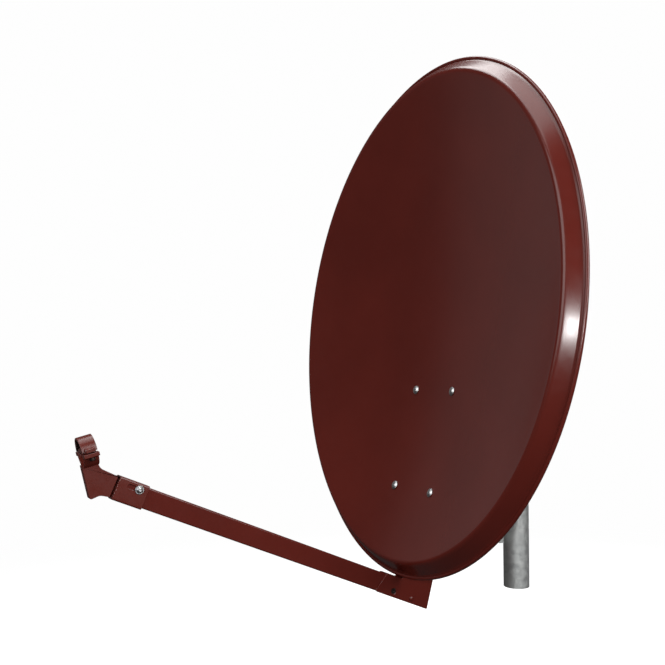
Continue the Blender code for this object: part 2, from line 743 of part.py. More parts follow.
def make_holder():
    width, height = SLEEVE_OUTER
    sleeve = prism(rounded_box_outline(width, height, 0.003), SLEEVE[0], SLEEVE[1], ARM_SECTION)
    sleeve_top = ARM @ Vector((SLEEVE[0] + 0.004, 0.0160, 0))
    sleeve_low = ARM @ Vector((SLEEVE[0] + 0.004, -0.0150, 0))
    neck_corners = [
        (sleeve_low.y, sleeve_low.z),
        (-0.7800, 0.2212),
        (-0.7945, 0.2155),
        (-0.8095, 0.2760),
        (-0.7850, 0.2800),
        (-0.7815, 0.2620),
        (sleeve_top.y, sleeve_top.z),
    ]
    neck_outline = rounded(neck_corners, [0, 0.012, 0.003, 0, 0, 0.014, 0], 4)
    neck = prism(neck_outline, -NECK_HALF_WIDTH, NECK_HALF_WIDTH, WORLD_SIDE)
    shape = join(sleeve, [neck] + ring_and_ears(RING_HALF_LENGTH, CRADLE_EAR))
    beyond = RING_HALF_LENGTH + 0.0013
    above = block((-0.05, 0.05), (CRADLE_JOINT, 0.05), (-beyond, beyond), RING_SECTION)
    cutters = [above, rod(RING_BORE, -2 * beyond, 2 * beyond, RING_SECTION, 40)]
    pocket = rounded_box_outline(ARM_HALF_WIDTH + GAP, ARM_HALF_HEIGHT + GAP, 0.0022)
    cutters.append(prism(pocket, ARM_TIP - 0.0165, SLEEVE[1] + 0.01, ARM_SECTION))
    slot = slot_outline((SLOT[0], HOLDER_SCREW[1]), (SLOT[1], HOLDER_SCREW[1]), M6 + SLOT_PLAY)
    cutters.append(prism(slot, -0.02, 0.02, ARM))
    for x in (-EAR_X, EAR_X):
        cutters.append(rod(M5 + GAP, -0.02, 0.01, clamp_frame(x)))
    return cut(shape, cutters)


def clamp_frame(x):
    """A frame for a clamp screw: z runs up through the ears."""
    return RING_SECTION @ Matrix.Translation((x, 0, 0)) @ quarter_turn("X", -1)


def ring_and_ears(ear_half_length, ear):
    """The clamp's whole round body, before its bore, and the flat bar that makes its two ears."""
    body = rod(RING_OUTER, -RING_HALF_LENGTH, RING_HALF_LENGTH, RING_SECTION, 36)
    bar = block((-EAR_REACH, EAR_REACH), ear, (-ear_half_length, ear_half_length), RING_SECTION)
    return [body, bar]


def make_clamp_cap():
    full_ring, ears = ring_and_ears(EAR_HALF_LENGTH, CAP_EAR)
    beyond = RING_HALF_LENGTH + 0.0013
    below = block((-0.05, 0.05), (-0.05, CAP_JOINT), (-beyond, beyond), RING_SECTION)
    cutters = [below, rod(RING_BORE, -2 * beyond, 2 * beyond, RING_SECTION, 40)]
    cutters += [rod(M5 + GAP, -0.01, 0.02, clamp_frame(x)) for x in (-EAR_X, EAR_X)]
    return cut(join(full_ring, [ears]), cutters)


def make_clamp_screw(frame):
    """A cap screw from below: its head sits under the cradle's ear and its tip ends in the cap's ear."""
    seat = CRADLE_EAR[0] - GAP
    head = 0.0042
    tip = CAP_EAR[1] - 0.0010
    top = seat - 0.0046
    profile = [(0, top), (head * 0.9, top), (head, top + 0.0006), (head, seat), (M5, seat), (M5, tip), (0, tip)]
    return lathe(profile, frame)


def holder_fasteners(steel, carrier):
    frame = across_at(HOLDER_SCREW_AXIS)
    washer_in = SLEEVE_OUTER[0] + GAP
    washer_out = washer_in + 0.0012
    seat = washer_out + GAP
    piece("holder_washer", ring(M6 + GAP, 0.0066, washer_in, washer_out, frame), steel, carrier)
    nut_in = -washer_in
    tip = nut_in - 0.0075
    profile = [(0, tip), (M6 * 0.8, tip), (M6, tip + 0.0006), (M6, seat), (0.0050, seat)]
    dome = [(0.0050, seat + 0.0018), (0.0042, seat + 0.0030), (0.0024, seat + 0.0034)]
    recess = [(0.0016, seat + 0.0014), (0, seat + 0.0014)]
    piece("holder_screw", lathe(profile + dome + recess, frame), steel, carrier)
    shape = nut(M6_HEXAGON, M6 + GAP, nut_in - M6_NUT, nut_in, frame, M6_FLANGE)
    piece("holder_nut", shape, steel, carrier)


# Mast

def make_mast():
    return ring(MAST_RADIUS - MAST_WALL, MAST_RADIUS, 0, MAST_LENGTH, UPRIGHT, 28)


def make_mast_cap():
    """A push-in lid: a rounded top over the tube's end, and a skirt inside it."""
    top = MAST_LENGTH + GAP
    foot = top - 0.015
    skirt = MAST_RADIUS - MAST_WALL - GAP
    inside = skirt - 0.002
    hollow = [(0, top - 0.0005), (inside, top - 0.0005), (inside, foot), (skirt, foot), (skirt, top)]
    crown = [(MAST_RADIUS, top), (MAST_RADIUS, top + 0.002), (MAST_RADIUS - 0.002, top + 0.004), (0, top + 0.005)]
    return lathe(hollow + crown, UPRIGHT, 28)


def clear_scene():
    for thing in list(bpy.data.objects):
        bpy.data.objects.remove(thing)


def build():
    clear_scene()
    paint = make_material("red_brown_powder_coat", (0.075, 0.016, 0.011), 0.38, 0.0)
    zinc = make_material("bright_zinc", (0.55, 0.55, 0.56), 0.30, 1.0)
    galvanised = make_material("galvanised_steel", (0.32, 0.34, 0.34), 0.45, 1.0)
    black = make_material("black_plastic", (0.012, 0.012, 0.012), 0.5, 0.0)

    ground = axis_empty("mast_body", (0, 0, 0))
    azimuth = axis_empty("azimuth_axis", (0, 0, BRACKET_TOP), ground)
    elevation = axis_empty("elevation_axis", ELEVATION_AXIS, azimuth)
    fold = axis_empty("arm_fold_axis", FOLD_AXIS, elevation)
    focus = axis_empty("focus_slide", HOLDER_SCREW_AXIS, fold)
    cap_lift = axis_empty("cap_lift", RING @ Vector((0, 0, 0)), focus)

    piece("mast_tube", make_mast(), galvanised, ground)
    piece("mast_lid", make_mast_cap(), black, ground)

    piece("mast_bracket", make_mast_bracket(), galvanised, azimuth)
    for label, height in zip(("lower", "upper"), U_BOLT_HEIGHTS):
        piece(f"{label}_mast_saddle", make_saddle(height), galvanised, azimuth)
        piece(f"{label}_u_bolt", make_u_bolt(height), zinc, azimuth)
    mast_fasteners(zinc, azimuth)
    cross_bolt("elevation_pivot", ELEVATION_AXIS, zinc, azimuth)
    cross_bolt("elevation_lock", LOCK_AXIS, zinc, azimuth)

    piece("reflector", make_reflector(), paint, elevation)
    piece("reflector_bracket", make_channel(), paint, elevation)
    reflector_fasteners(zinc, elevation)
    arm_fasteners(zinc, paint, elevation, fold)

    piece("feed_arm", make_feed_arm(), paint, fold)
    holder_fasteners(zinc, fold)
    piece("converter_holder", make_holder(), paint, focus)
    for side, x in (("left", -EAR_X), ("right", EAR_X)):
        piece(f"clamp_screw_{side}", make_clamp_screw(clamp_frame(x)), zinc, focus)
    piece("clamp_cap", make_clamp_cap(), paint, cap_lift)


build()
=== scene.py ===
"""The looks of the offset satellite dish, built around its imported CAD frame.

Each piece repeats its CAD solid's sizes with a finer surface: true curves, rolled edges, chamfers
and threads. Metres, +Z up. The mast's axis is Z, its lower end is at the origin, and the dish looks
towards -Y.
"""

import json
import math

import bmesh
import bpy
from mathutils import Matrix, Vector


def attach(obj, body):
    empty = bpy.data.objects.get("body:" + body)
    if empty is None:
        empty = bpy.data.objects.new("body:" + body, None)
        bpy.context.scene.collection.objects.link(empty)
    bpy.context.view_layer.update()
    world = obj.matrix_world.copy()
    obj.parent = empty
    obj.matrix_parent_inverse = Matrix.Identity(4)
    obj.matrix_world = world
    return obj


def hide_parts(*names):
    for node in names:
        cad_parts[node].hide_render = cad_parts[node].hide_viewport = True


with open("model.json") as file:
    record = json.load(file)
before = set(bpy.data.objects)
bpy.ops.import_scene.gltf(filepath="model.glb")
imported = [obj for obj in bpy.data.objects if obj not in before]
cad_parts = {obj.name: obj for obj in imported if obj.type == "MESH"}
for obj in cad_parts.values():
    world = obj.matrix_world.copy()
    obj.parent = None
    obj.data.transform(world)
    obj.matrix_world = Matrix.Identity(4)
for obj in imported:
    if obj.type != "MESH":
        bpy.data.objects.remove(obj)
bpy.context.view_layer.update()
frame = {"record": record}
BODY_OF = {node: body for body, nodes in frame["record"]["behaviour"]["bodies"].items() for node in nodes}

GAP = 0.0003  # clearance between touching pieces
SLOT_PLAY = 0.0004  # round a fastener in its slot
ACROSS = (-0.03, 0.03)  # a cutter through everything from side to side

# Radii of the fasteners' shanks, and their pitches, hexagons, nut heights and flanges
M5 = 0.0025
M6 = 0.003
M8 = 0.004
M5_PITCH = 0.0008
M6_PITCH = 0.001
M8_PITCH = 0.00125
M6_HEXAGON = 0.010
M8_HEXAGON = 0.013
M6_NUT = 0.0050
M8_NUT = 0.0065
M6_FLANGE = 0.0065
M8_FLANGE = 0.0085
THREAD_STEPS = 6  # rows on each turn of a thread
TIP_RATIO = 0.78  # a shank's end against its radius

# Mast
MAST_RADIUS = 0.024
MAST_WALL = 0.002
MAST_LENGTH = 0.315

# Reflector: a paraboloid cut by a plane, so that its edge is an ellipse
HALF_WIDTH = 0.398  # of the crease between the bowl and the rim
HEIGHT_RATIO = 1.09
FOCAL_LENGTH = 0.482
DISH_CENTRE = Vector((0, -0.2416, 0.5087))
TILT_BACK = 5.5  # degrees from upright to the crease's plane
BORESIGHT_ELEVATION = 28.9  # degrees
SHEET = 0.0012
CREASE_ROUND = 0.0064  # how far from the crease its rounding starts
RIM_OUT = 0.0270  # rim's reach beyond the crease
RIM_BACK = 0.0235  # depth of the bead's centre behind the crease
BEAD_RADIUS = 0.0032
RIM_SEGMENTS = 280
BOWL_RINGS = 34

# Bolts that hold the reflector
BOLT_X = 0.0577
BOLT_DOWN = (0.1027, 0.2929)  # below the dish's centre, in the crease's plane
BOSS_FRONT = -(SHEET + GAP)
BOSS_BACK = -0.0130
WASHER_BACK = BOSS_BACK - GAP - 0.0014
NUT_BACK = WASHER_BACK - GAP - M6_NUT

# Tilting channel
CHANNEL_LEAN = 15.1
CHANNEL_FOOT = (-0.2320, 0.1960)
CHANNEL_OUTER = 0.0125
CHANNEL_INNER = 0.0105
CHANNEL_DEPTH = 0.076
PLATE_FRONT = 0.008
PLATE_BACK = 0.0105
PLATE_HALF_WIDTH = 0.075
PLATE_LOW = -0.022
PLATE_HIGH = 0.205
BOSS_RADIUS = 0.011
PIVOT_UP = 0.105
PIVOT_DEPTH = 0.042
LOCK_RADIUS = 0.060
ELEVATION_LOW = -19
ELEVATION_HIGH = 21

# Mast bracket
CHEEK_INNER = CHANNEL_OUTER + GAP
CHEEK_OUTER = CHEEK_INNER + 0.0025
WEB_FRONT = -0.0435
WEB_BACK = -0.0410
WEB_HALF_WIDTH = 0.042
BRACKET_FOOT = 0.087
BRACKET_TOP = 0.290
U_BOLT_HEIGHTS = (0.196, 0.262)
U_BOLT_X = 0.0285
LIGHTENING_HOLE = (-0.094, 0.236, 0.017)  # centre in Y and Z, and radius
U_BOLT_TIP = WEB_FRONT - 0.0150
U_WASHER_FRONT = WEB_FRONT - GAP - 0.0016

# Feed arm
ARM_ORIGIN = (-0.4377, 0.0987)
ARM_LEAN = 22.6
ARM_HALF_WIDTH = 0.010
ARM_HALF_HEIGHT = 0.016
ARM_WALL = 0.0015
ARM_TIP = -0.331
FOLD_PIVOT = (0.2155, -0.0085)
ARM_LOCK = (0.1755, -0.0065)
ARM_TAIL = FOLD_PIVOT[0] + 0.026

# Converter holder
SLEEVE = (-0.3460, -0.2980)
SLEEVE_OUTER = (0.0125, 0.0184)  # half width and half height
POCKET_BEYOND = 0.0178  # the sleeve's pocket ends this far beyond the arm's tip
NECK_HALF_WIDTH = 0.0085
HOLDER_SCREW = (-0.3120, 0.0087)
SLOT = (-0.3277, -0.3078)
RING_CENTRE = (-0.7980, 0.2865)
RING_LEAN = -15
RING_BORE = 0.020
RING_OUTER = 0.0237
RING_HALF_LENGTH = 0.0112
EAR_X = 0.0285
EAR_REACH = 0.0335
EAR_HALF_LENGTH = 0.0070  # of the cap's ears, along the bore
CRADLE_EAR = (-0.0066, 0.0060)  # bottom and top of the bar that makes the cradle's ears
CAP_EAR = (-0.0060, 0.0068)
CAP_JOINT = 0.0012
CRADLE_JOINT = -0.0006


# Frames and outlines

def frame_of(origin, x, y, z):
    rotation = Matrix((x, y, z)).transposed().to_4x4()
    return Matrix.Translation(origin) @ rotation


def side_frame(y, z, lean=0.0):
    """Local x runs back, y up and z to +X, turned by lean degrees so that the top leans back."""
    turn = math.radians(lean)
    back = Vector((0, math.cos(turn), -math.sin(turn)))
    up = Vector((0, math.sin(turn), math.cos(turn)))
    return frame_of((0, y, z), back, up, Vector((1, 0, 0)))


def quarter_turn(axis, turns=1):
    return Matrix.Rotation(math.radians(90 * turns), 4, axis)


WORLD_SIDE = side_frame(0, 0)
CHANNEL = side_frame(*CHANNEL_FOOT, CHANNEL_LEAN)
ARM = side_frame(*ARM_ORIGIN, ARM_LEAN)
ALONG_ARM = ARM @ quarter_turn("Y") @ quarter_turn("Z")
RING = side_frame(*RING_CENTRE, RING_LEAN)
RING_SECTION = RING @ quarter_turn("Y", -1)  # local x runs to +X, y up and z forward along the bore
FACING_BACK = frame_of((0, 0, 0), Vector((1, 0, 0)), Vector((0, 0, 1)), Vector((0, -1, 0)))
UPRIGHT = Matrix.Identity(4)

ELEVATION_AXIS = CHANNEL @ Vector((PIVOT_DEPTH, PIVOT_UP, 0))
LOCK_AXIS = CHANNEL @ Vector((PIVOT_DEPTH, PIVOT_UP - LOCK_RADIUS, 0))
FOLD_AXIS = ARM @ Vector((*FOLD_PIVOT, 0))
ARM_LOCK_AXIS = ARM @ Vector((*ARM_LOCK, 0))
HOLDER_SCREW_AXIS = ARM @ Vector((*HOLDER_SCREW, 0))


def across_at(place):
    """A frame across the dish at this place: z runs to +X."""
    return side_frame(place.y, place.z)


def arc(centre, radius, start, end, steps):
    """Points on an arc, with its angles in degrees."""
    angles = [math.radians(start + (end - start) * i / steps) for i in range(steps + 1)]
    return [(centre[0] + radius * math.cos(a), centre[1] + radius * math.sin(a)) for a in angles]


def bend(start, corner, end, steps):
    """Points on a smooth curve from start to end that leaves and arrives along the lines to the corner."""
    start, corner, end = Vector(start), Vector(corner), Vector(end)
    shares = [i / steps for i in range(steps + 1)]
    return [start.lerp(corner, s).lerp(corner.lerp(end, s), s) for s in shares]


def rounded(corners, radius, steps=8):
    """The outline of these corners, each rounded by radius, or by its own where radius is a list."""
    points = []
    for i, corner in enumerate(corners):
        here = Vector(corner)
        to_last = (Vector(corners[i - 1]) - here).normalized()
        to_next = (Vector(corners[(i + 1) % len(corners)]) - here).normalized()
        size = radius[i] if isinstance(radius, (list, tuple)) else radius
        if size == 0:
            points.append(tuple(here))
            continue
        half = to_last.angle(to_next) / 2
        centre = here + (to_last + to_next).normalized() * size / math.sin(half)
        start = here + to_last * size / math.tan(half) - centre
        end = here + to_next * size / math.tan(half) - centre
        sweep = start.angle(end)
        for step in range(steps + 1):
            share = step / steps
            spoke = start * math.sin((1 - share) * sweep) + end * math.sin(share * sweep)
            points.append(tuple(centre + spoke / math.sin(sweep)))
    return points


def turn_of(a, b, c):
    return (b[0] - a[0]) * (c[1] - a[1]) - (b[1] - a[1]) * (c[0] - a[0])


def hull(points):
    """The convex outline around these points, anticlockwise."""
    ordered = sorted(set(points))

    def chain(sequence):
        kept = []
        for point in sequence:
            while len(kept) > 1 and turn_of(kept[-2], kept[-1], point) <= 1e-12:
                kept.pop()
            kept.append(point)
        return kept[:-1]

    return chain(ordered) + chain(ordered[::-1])


def slot_outline(start, end, radius, steps=14):
    """A straight slot with round ends at start and end."""
    along = math.degrees(math.atan2(end[1] - start[1], end[0] - start[0]))
    head = arc(end, radius, along - 90, along + 90, steps)
    return head + arc(start, radius, along + 90, along + 270, steps)


def arc_slot_outline(centre, radius, start, end, half_width, steps=28):
    """A curved slot about centre, with round ends at start and end, in degrees."""
    first, last = (arc(centre, radius, angle, angle, 1)[0] for angle in (start, end))
    outer = arc(centre, radius + half_width, start, end, steps)
    inner = arc(centre, radius - half_width, end, start, steps)
    head = arc(last, half_width, end, end + 180, 12)[1:-1]
    tail = arc(first, half_width, start + 180, start + 360, 12)[1:-1]
    return outer + head + inner + tail


# Solids, each made in world coordinates

def finished(builder, name="shape"):
    """An object from the builder's faces, with its doubled points merged and its faces turned outward."""
    bmesh.ops.remove_doubles(builder, verts=builder.verts, dist=1e-7)
    bmesh.ops.recalc_face_normals(builder, faces=builder.faces)
    mesh = bpy.data.meshes.new(name)
    builder.to_mesh(mesh)
    builder.free()
    shape = bpy.data.objects.new(name, mesh)
    bpy.context.scene.collection.objects.link(shape)
    return shape


def prism(outline, low, high, place):
    """The outline in the frame's x and y, from low to high along its z."""
    builder = bmesh.new()
    bottom = [builder.verts.new(place @ Vector((x, y, low))) for x, y in outline]
    top = [builder.verts.new(place @ Vector((x, y, high))) for x, y in outline]
    builder.faces.new(bottom)
    builder.faces.new(top)
    for i in range(len(outline)):
        j = (i + 1) % len(outline)
        builder.faces.new((bottom[i], bottom[j], top[j], top[i]))
    return finished(builder)


def block(x, y, z, place):
    """A box between the pairs x, y and z of the frame."""
    outline = [(x[0], y[0]), (x[1], y[0]), (x[1], y[1]), (x[0], y[1])]
    return prism(outline, z[0], z[1], place)


def value_at(thing, angle):
    return thing(angle) if callable(thing) else thing


def spun(rows, place, segments=48, closed=False):
    """Turns rows of (radius, height) about the frame's z. Either may be a function of the angle."""
    builder = bmesh.new()
    rings = []
    angles = [2 * math.pi * i / segments for i in range(segments)]
    for radius, height in rows:
        if radius == 0:
            rings.append([builder.verts.new(place @ Vector((0, 0, height)))] * segments)
            continue
        points = []
        for angle in angles:
            reach = value_at(radius, angle)
            level = value_at(height, angle)
            points.append(place @ Vector((reach * math.cos(angle), reach * math.sin(angle), level)))
        rings.append([builder.verts.new(point) for point in points])
    if closed:
        rings.append(rings[0])
    for lower, upper in zip(rings, rings[1:]):
        for i in range(segments):
            j = (i + 1) % segments
            corners = list(dict.fromkeys((lower[i], lower[j], upper[j], upper[i])))
            if len(corners) > 2:
                builder.faces.new(corners)
    return finished(builder)


def rod(radius, low, high, place, segments=48):
    return spun([(0, low), (radius, low), (radius, high), (0, high)], place, segments)


def ring(inner, outer, low, high, place, chamfer=0.0002, segments=48):
    """A flat ring with small chamfers on its outer edges."""
    rows = [(inner, low), (outer - chamfer, low), (outer, low + chamfer)]
    rows += [(outer, high - chamfer), (outer - chamfer, high), (inner, high)]
    return spun(rows, place, segments, closed=True)


def swept(path, radius_at, sides=32):
    """A round bar along points in one level plane. radius_at gives its radius by point and angle."""
    builder = bmesh.new()
    rings = []
    for i, point in enumerate(path):
        before = path[max(i - 1, 0)]
        after = path[min(i + 1, len(path) - 1)]
        along = (after - before).normalized()
        out = along.cross(Vector((0, 0, 1)))
        spokes = []
        for side in range(sides):
            angle = 2 * math.pi * side / sides
            reach = radius_at(i, angle)
            spokes.append(point + out * reach * math.cos(angle) + Vector((0, 0, reach * math.sin(angle))))
        rings.append([builder.verts.new(spoke) for spoke in spokes])
    for first, second in zip(rings, rings[1:]):
        for i in range(sides):
            j = (i + 1) % sides
            builder.faces.new((first[i], first[j], second[j], second[i]))
    builder.faces.new(rings[0])
    builder.faces.new(rings[-1])
    return finished(builder)


def combine(shape, others, operation):
    """Applies one exact Boolean for each of the others, and removes them."""
    for other in others:
        modifier = shape.modifiers.new("combine", "BOOLEAN")
        modifier.operation = operation
        modifier.solver = "EXACT"
        modifier.object = other
        evaluated = shape.evaluated_get(bpy.context.evaluated_depsgraph_get())
        mesh = bpy.data.meshes.new_from_object(evaluated)
        shape.modifiers.clear()
        builder = bmesh.new()
        builder.from_mesh(mesh)
        bmesh.ops.remove_doubles(builder, verts=builder.verts, dist=4e-6)
        bmesh.ops.dissolve_degenerate(builder, edges=builder.edges, dist=4e-6)
        flat = math.radians(0.5)
        parts = {"verts": builder.verts, "edges": builder.edges}
        bmesh.ops.dissolve_limit(builder, angle_limit=flat, delimit={"NORMAL"}, **parts)
        builder.to_mesh(mesh)
        builder.free()
        shape.data = mesh
        bpy.data.objects.remove(other)
    return shape


def join(shape, others):
    return combine(shape, others, "UNION")


def cut(shape, others):
    return combine(shape, others, "DIFFERENCE")


def soften(shape, width, segments=2):
    """Rounds the solid's edges, and keeps its flat faces flat in the shading."""
    edges = shape.modifiers.new("rounded edges", "BEVEL")
    edges.width = width
    edges.segments = segments
    edges.limit_method = "ANGLE"
    edges.angle_limit = math.radians(32)
    edges.use_clamp_overlap = False
    edges.miter_outer = "MITER_ARC"
    shading = shape.modifiers.new("flat faces stay flat", "WEIGHTED_NORMAL")
    shading.keep_sharp = True
    shading.weight = 60
    return shape


# Fasteners

def hexagon(across_flats):
    """The radius of a hexagon by angle, with a corner at angle 0."""
    return lambda angle: across_flats / 2 / math.cos(angle % (math.pi / 3) - math.pi / 6)


def thread_dip(pitch, level, angle, step, steps):
    """How far a helical thread lies below its crest. It fades in and out over a turn's half."""
    fade = min(1, step / 3, (steps - step) / 3)
    phase = (level / pitch - angle / (2 * math.pi)) % 1
    return 0.56 * pitch * fade * (1 - abs(2 * phase - 1))


def thread_rows(radius, pitch, start, end):
    """Rows of a helical thread of this outer radius."""
    steps = max(2 * THREAD_STEPS, round(abs(end - start) / pitch * THREAD_STEPS))
    rows = []
    for step in range(steps + 1):
        level = start + (end - start) * step / steps

        def reach(angle, level=level, step=step):
            return radius - thread_dip(pitch, level, angle, step, steps)

        rows.append((reach, level))
    return rows


def nut(across_flats, bore, low, high, place, flange=0.0, seat_high=False):
    """A hexagon nut with turned chamfers, on a flange at its low end, or at its high end with seat_high."""
    if seat_high:
        low, high = high, low
    way = 1 if high > low else -1
    corner = hexagon(across_flats)
    face = across_flats * 0.475
    lip = bore * 0.14

    def drop(angle):
        return (corner(angle) - face) * math.tan(math.radians(30)) * way

    rows = [(bore, low + lip * way), (bore + lip, low)]
    if flange:
        rise = (high - low) * 0.25
        rows += [(flange - 0.0002, low), (flange, low + 0.0002 * way), (flange, low + rise * 0.5)]
        rows += [(flange - 0.0003, low + rise * 0.65), (lambda a: corner(a) + 0.00015, low + rise)]
    else:
        rows += [(face, low), (corner, lambda a: low + drop(a))]
    rows += [(corner, lambda a: high - drop(a)), (face, high), (bore + lip, high), (bore, high - lip * way)]
    return spun(rows, place, 72, closed=True)


def hex_bolt(radius, pitch, across_flats, head_height, head_at, tip_at, place, threaded):
    """A bolt whose head stands on head_at, away from its tip, with this length of thread."""
    away = 1 if head_at > tip_at else -1
    corner = hexagon(across_flats)
    face = across_flats * 0.475
    top = head_at + away * head_height

    def drop(angle):
        return (corner(angle) - face) * math.tan(math.radians(30)) * away

    rows = [(0, top - away * 0.0003), (face - 0.0012, top - away * 0.0003), (face - 0.0008, top), (face, top)]
    rows += [(corner, lambda a: top - drop(a)), (corner, head_at + away * 0.0003), (face, head_at)]
    rows += [(radius, head_at), (radius, tip_at + away * (threaded + 0.0004))]
    rows += thread_rows(radius, pitch, tip_at + away * threaded, tip_at + away * 0.0008)
    rows += [(radius * TIP_RATIO, tip_at), (0, tip_at)]
    return spun(rows, place, 72)


# The finished pieces

def show(node, shape, slot, sharp=32):
    """Puts the shape in its CAD node's place, on the same body and with the finish of its slot."""
    shape.name = f"{node}_shape"
    shape.data.name = shape.name
    shape.data.materials.clear()
    shape.data.materials.append(FINISHES[slot])
    shape.data.shade_smooth()
    shape.data.set_sharp_from_angle(angle=math.radians(sharp))
    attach(shape, BODY_OF[node])
    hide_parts(node)
    return shape


# Materials

class Surface:
    """A material whose Principled shader is fed by procedural nodes."""

    def __init__(self, name):
        self.material = bpy.data.materials.new(name)
        self.material.use_nodes = True
        self.tree = self.material.node_tree
        self.shader = self.tree.nodes["Principled BSDF"]
        self.place = self.add("ShaderNodeTexCoord").outputs["Object"]

    def add(self, kind, **settings):
        made = self.tree.nodes.new(kind)
        for name, setting in settings.items():
            setattr(made, name, setting)
        return made

    def link(self, source, target):
        self.tree.links.new(source, target)

    def noise(self, scale, detail=2.0, roughness=0.5, distortion=0.0):
        made = self.add("ShaderNodeTexNoise")
        made.inputs["Scale"].default_value = scale
        made.inputs["Detail"].default_value = detail
        made.inputs["Roughness"].default_value = roughness
        made.inputs["Distortion"].default_value = distortion
        self.link(self.place, made.inputs["Vector"])
        return made.outputs["Fac"]

    def cells(self, scale, output="Color"):
        made = self.add("ShaderNodeTexVoronoi")
        made.inputs["Scale"].default_value = scale
        self.link(self.place, made.inputs["Vector"])
        return made.outputs[output]

    def spread(self, source, low, high, start=0.3, end=0.7):
        """The source's values from start to end, spread from low to high."""
        made = self.add("ShaderNodeMapRange")
        for name, setting in (("From Min", start), ("From Max", end), ("To Min", low), ("To Max", high)):
            made.inputs[name].default_value = setting
        self.link(source, made.inputs["Value"])
        return made.outputs["Result"]

    def mixed(self, share, first, second):
        """From the first colour to the second by share."""
        made = self.add("ShaderNodeMix", data_type="RGBA")
        for index, colour in ((6, first), (7, second)):
            if isinstance(colour, tuple):
                made.inputs[index].default_value = (*colour, 1)
            else:
                self.link(colour, made.inputs[index])
        self.link(share, made.inputs[0])
        return made.outputs[2]

    def bump(self, height, depth, below=None):
        """A relief of this depth in metres, on top of another where one is given."""
        made = self.add("ShaderNodeBump")
        made.inputs["Strength"].default_value = 1.0
        made.inputs["Distance"].default_value = depth
        self.link(height, made.inputs["Height"])
        if below is not None:
            self.link(below, made.inputs["Normal"])
        return made.outputs["Normal"]

    def feed(self, **sources):
        for name, source in sources.items():
            self.link(source, self.shader.inputs[name.replace("_", " ")])

    def settings(self, **values):
        for name, setting in values.items():
            self.shader.inputs[name.replace("_", " ")].default_value = setting


def powder_coat(name, deep, light, roughness, peel):
    """Sprayed and baked paint: an even colour with faint clouds, and the fine ripple called orange peel."""
    paint = Surface(name)
    clouds = paint.spread(paint.noise(7.0, 3.0), 0.0, 1.0)
    specks = paint.spread(paint.noise(1400.0, 1.0), 0.0, 0.22, 0.42, 0.75)
    colour = paint.mixed(clouds, deep, light)
    colour = paint.mixed(specks, colour, tuple(1.25 * part for part in light))
    gloss = paint.spread(paint.noise(60.0, 3.0, 0.6), *roughness)
    ripple = paint.bump(paint.noise(420.0, 2.0, 0.55), peel)
    grain = paint.bump(paint.noise(2100.0, 1.0), peel * 0.12, ripple)
    paint.settings(Metallic=0.0, IOR=1.5)
    paint.feed(Base_Color=colour, Roughness=gloss, Normal=grain)
    return paint.material


def galvanised_steel():
    """Hot-dip zinc: dull grey crystals of a few millimetres, each with its own tone, and a soft grain."""
    zinc = Surface("galvanised_steel")
    crystal = zinc.cells(150.0)
    tone = zinc.spread(crystal, 0.0, 1.0, 0.0, 1.0)
    clouds = zinc.spread(zinc.noise(22.0, 4.0, 0.6), 0.0, 1.0)
    colour = zinc.mixed(tone, (0.52, 0.54, 0.54), (0.68, 0.70, 0.69))
    colour = zinc.mixed(zinc.spread(clouds, 0.0, 0.45, 0.0, 1.0), colour, (0.76, 0.77, 0.75))
    gloss = zinc.spread(zinc.noise(90.0, 3.0), 0.40, 0.60)
    relief = zinc.bump(zinc.noise(500.0, 4.0, 0.6), 0.00004)
    relief = zinc.bump(crystal, 0.00002, relief)
    zinc.settings(Metallic=0.85)
    zinc.feed(Base_Color=colour, Roughness=gloss, Normal=relief)
    return zinc.material


def grained(name, patches, share, colours, sheen, roughness, grain, depth, **settings):
    """A finish with two tones in patches, an uneven gloss and a fine grain, each from its own noise."""
    surface = Surface(name)
    colour = surface.mixed(surface.spread(surface.noise(*patches), *share), *colours)
    gloss = surface.spread(surface.noise(*sheen), *roughness)
    relief = surface.bump(surface.noise(*grain), depth)
    surface.settings(**settings)
    surface.feed(Base_Color=colour, Roughness=gloss, Normal=relief)
    return surface.material


FINISHES = {
    "powder_coat": powder_coat(
        "powder_coat", (0.085, 0.0102, 0.0066), (0.101, 0.0124, 0.0080), (0.20, 0.25), 0.000012
    ),
    "coated_casting": powder_coat(
        "coated_casting", (0.092, 0.0128, 0.0080), (0.108, 0.0155, 0.0098), (0.24, 0.32), 0.00003
    ),
    "galvanised_steel": galvanised_steel(),
    # Electroplated, with a faint yellow and blue bloom and tumbling marks
    "bright_zinc": grained(
        "bright_zinc", (160.0, 3.0, 0.6, 0.4), (0.0, 1.0), ((0.66, 0.66, 0.63), (0.58, 0.60, 0.64)),
        (700.0, 3.0, 0.6), (0.24, 0.42), (1500.0, 3.0, 0.65), 0.00002, Metallic=1.0
    ),
    # Black oxide, with a little bare metal showing through. On the arm's lock screw this black is also
    # painted shade: the head stands for the dark shade of an open hole in the cheek
    "dark_screw_steel": grained(
        "dark_screw_steel", (420.0, 4.0, 0.6), (0.0, 0.7, 0.5, 0.8),
        ((0.045, 0.028, 0.024), (0.16, 0.13, 0.12)),
        (900.0, 2.0), (0.32, 0.5), (1700.0, 3.0), 0.00002, Metallic=0.9
    ),
    # Moulded polyethylene
    "black_plastic": grained(
        "black_plastic", (45.0, 3.0), (0.0, 1.0), ((0.010, 0.010, 0.011), (0.018, 0.018, 0.019)),
        (300.0, 2.0), (0.42, 0.58), (1200.0, 2.0), 0.00005, Metallic=0.0, IOR=1.5
    ),
}


# Reflector

def crease_axes():
    """The up and the forward direction of the crease's plane."""
    tilt = math.radians(TILT_BACK)
    return Vector((0, math.sin(tilt), math.cos(tilt))), Vector((0, -math.cos(tilt), math.sin(tilt)))


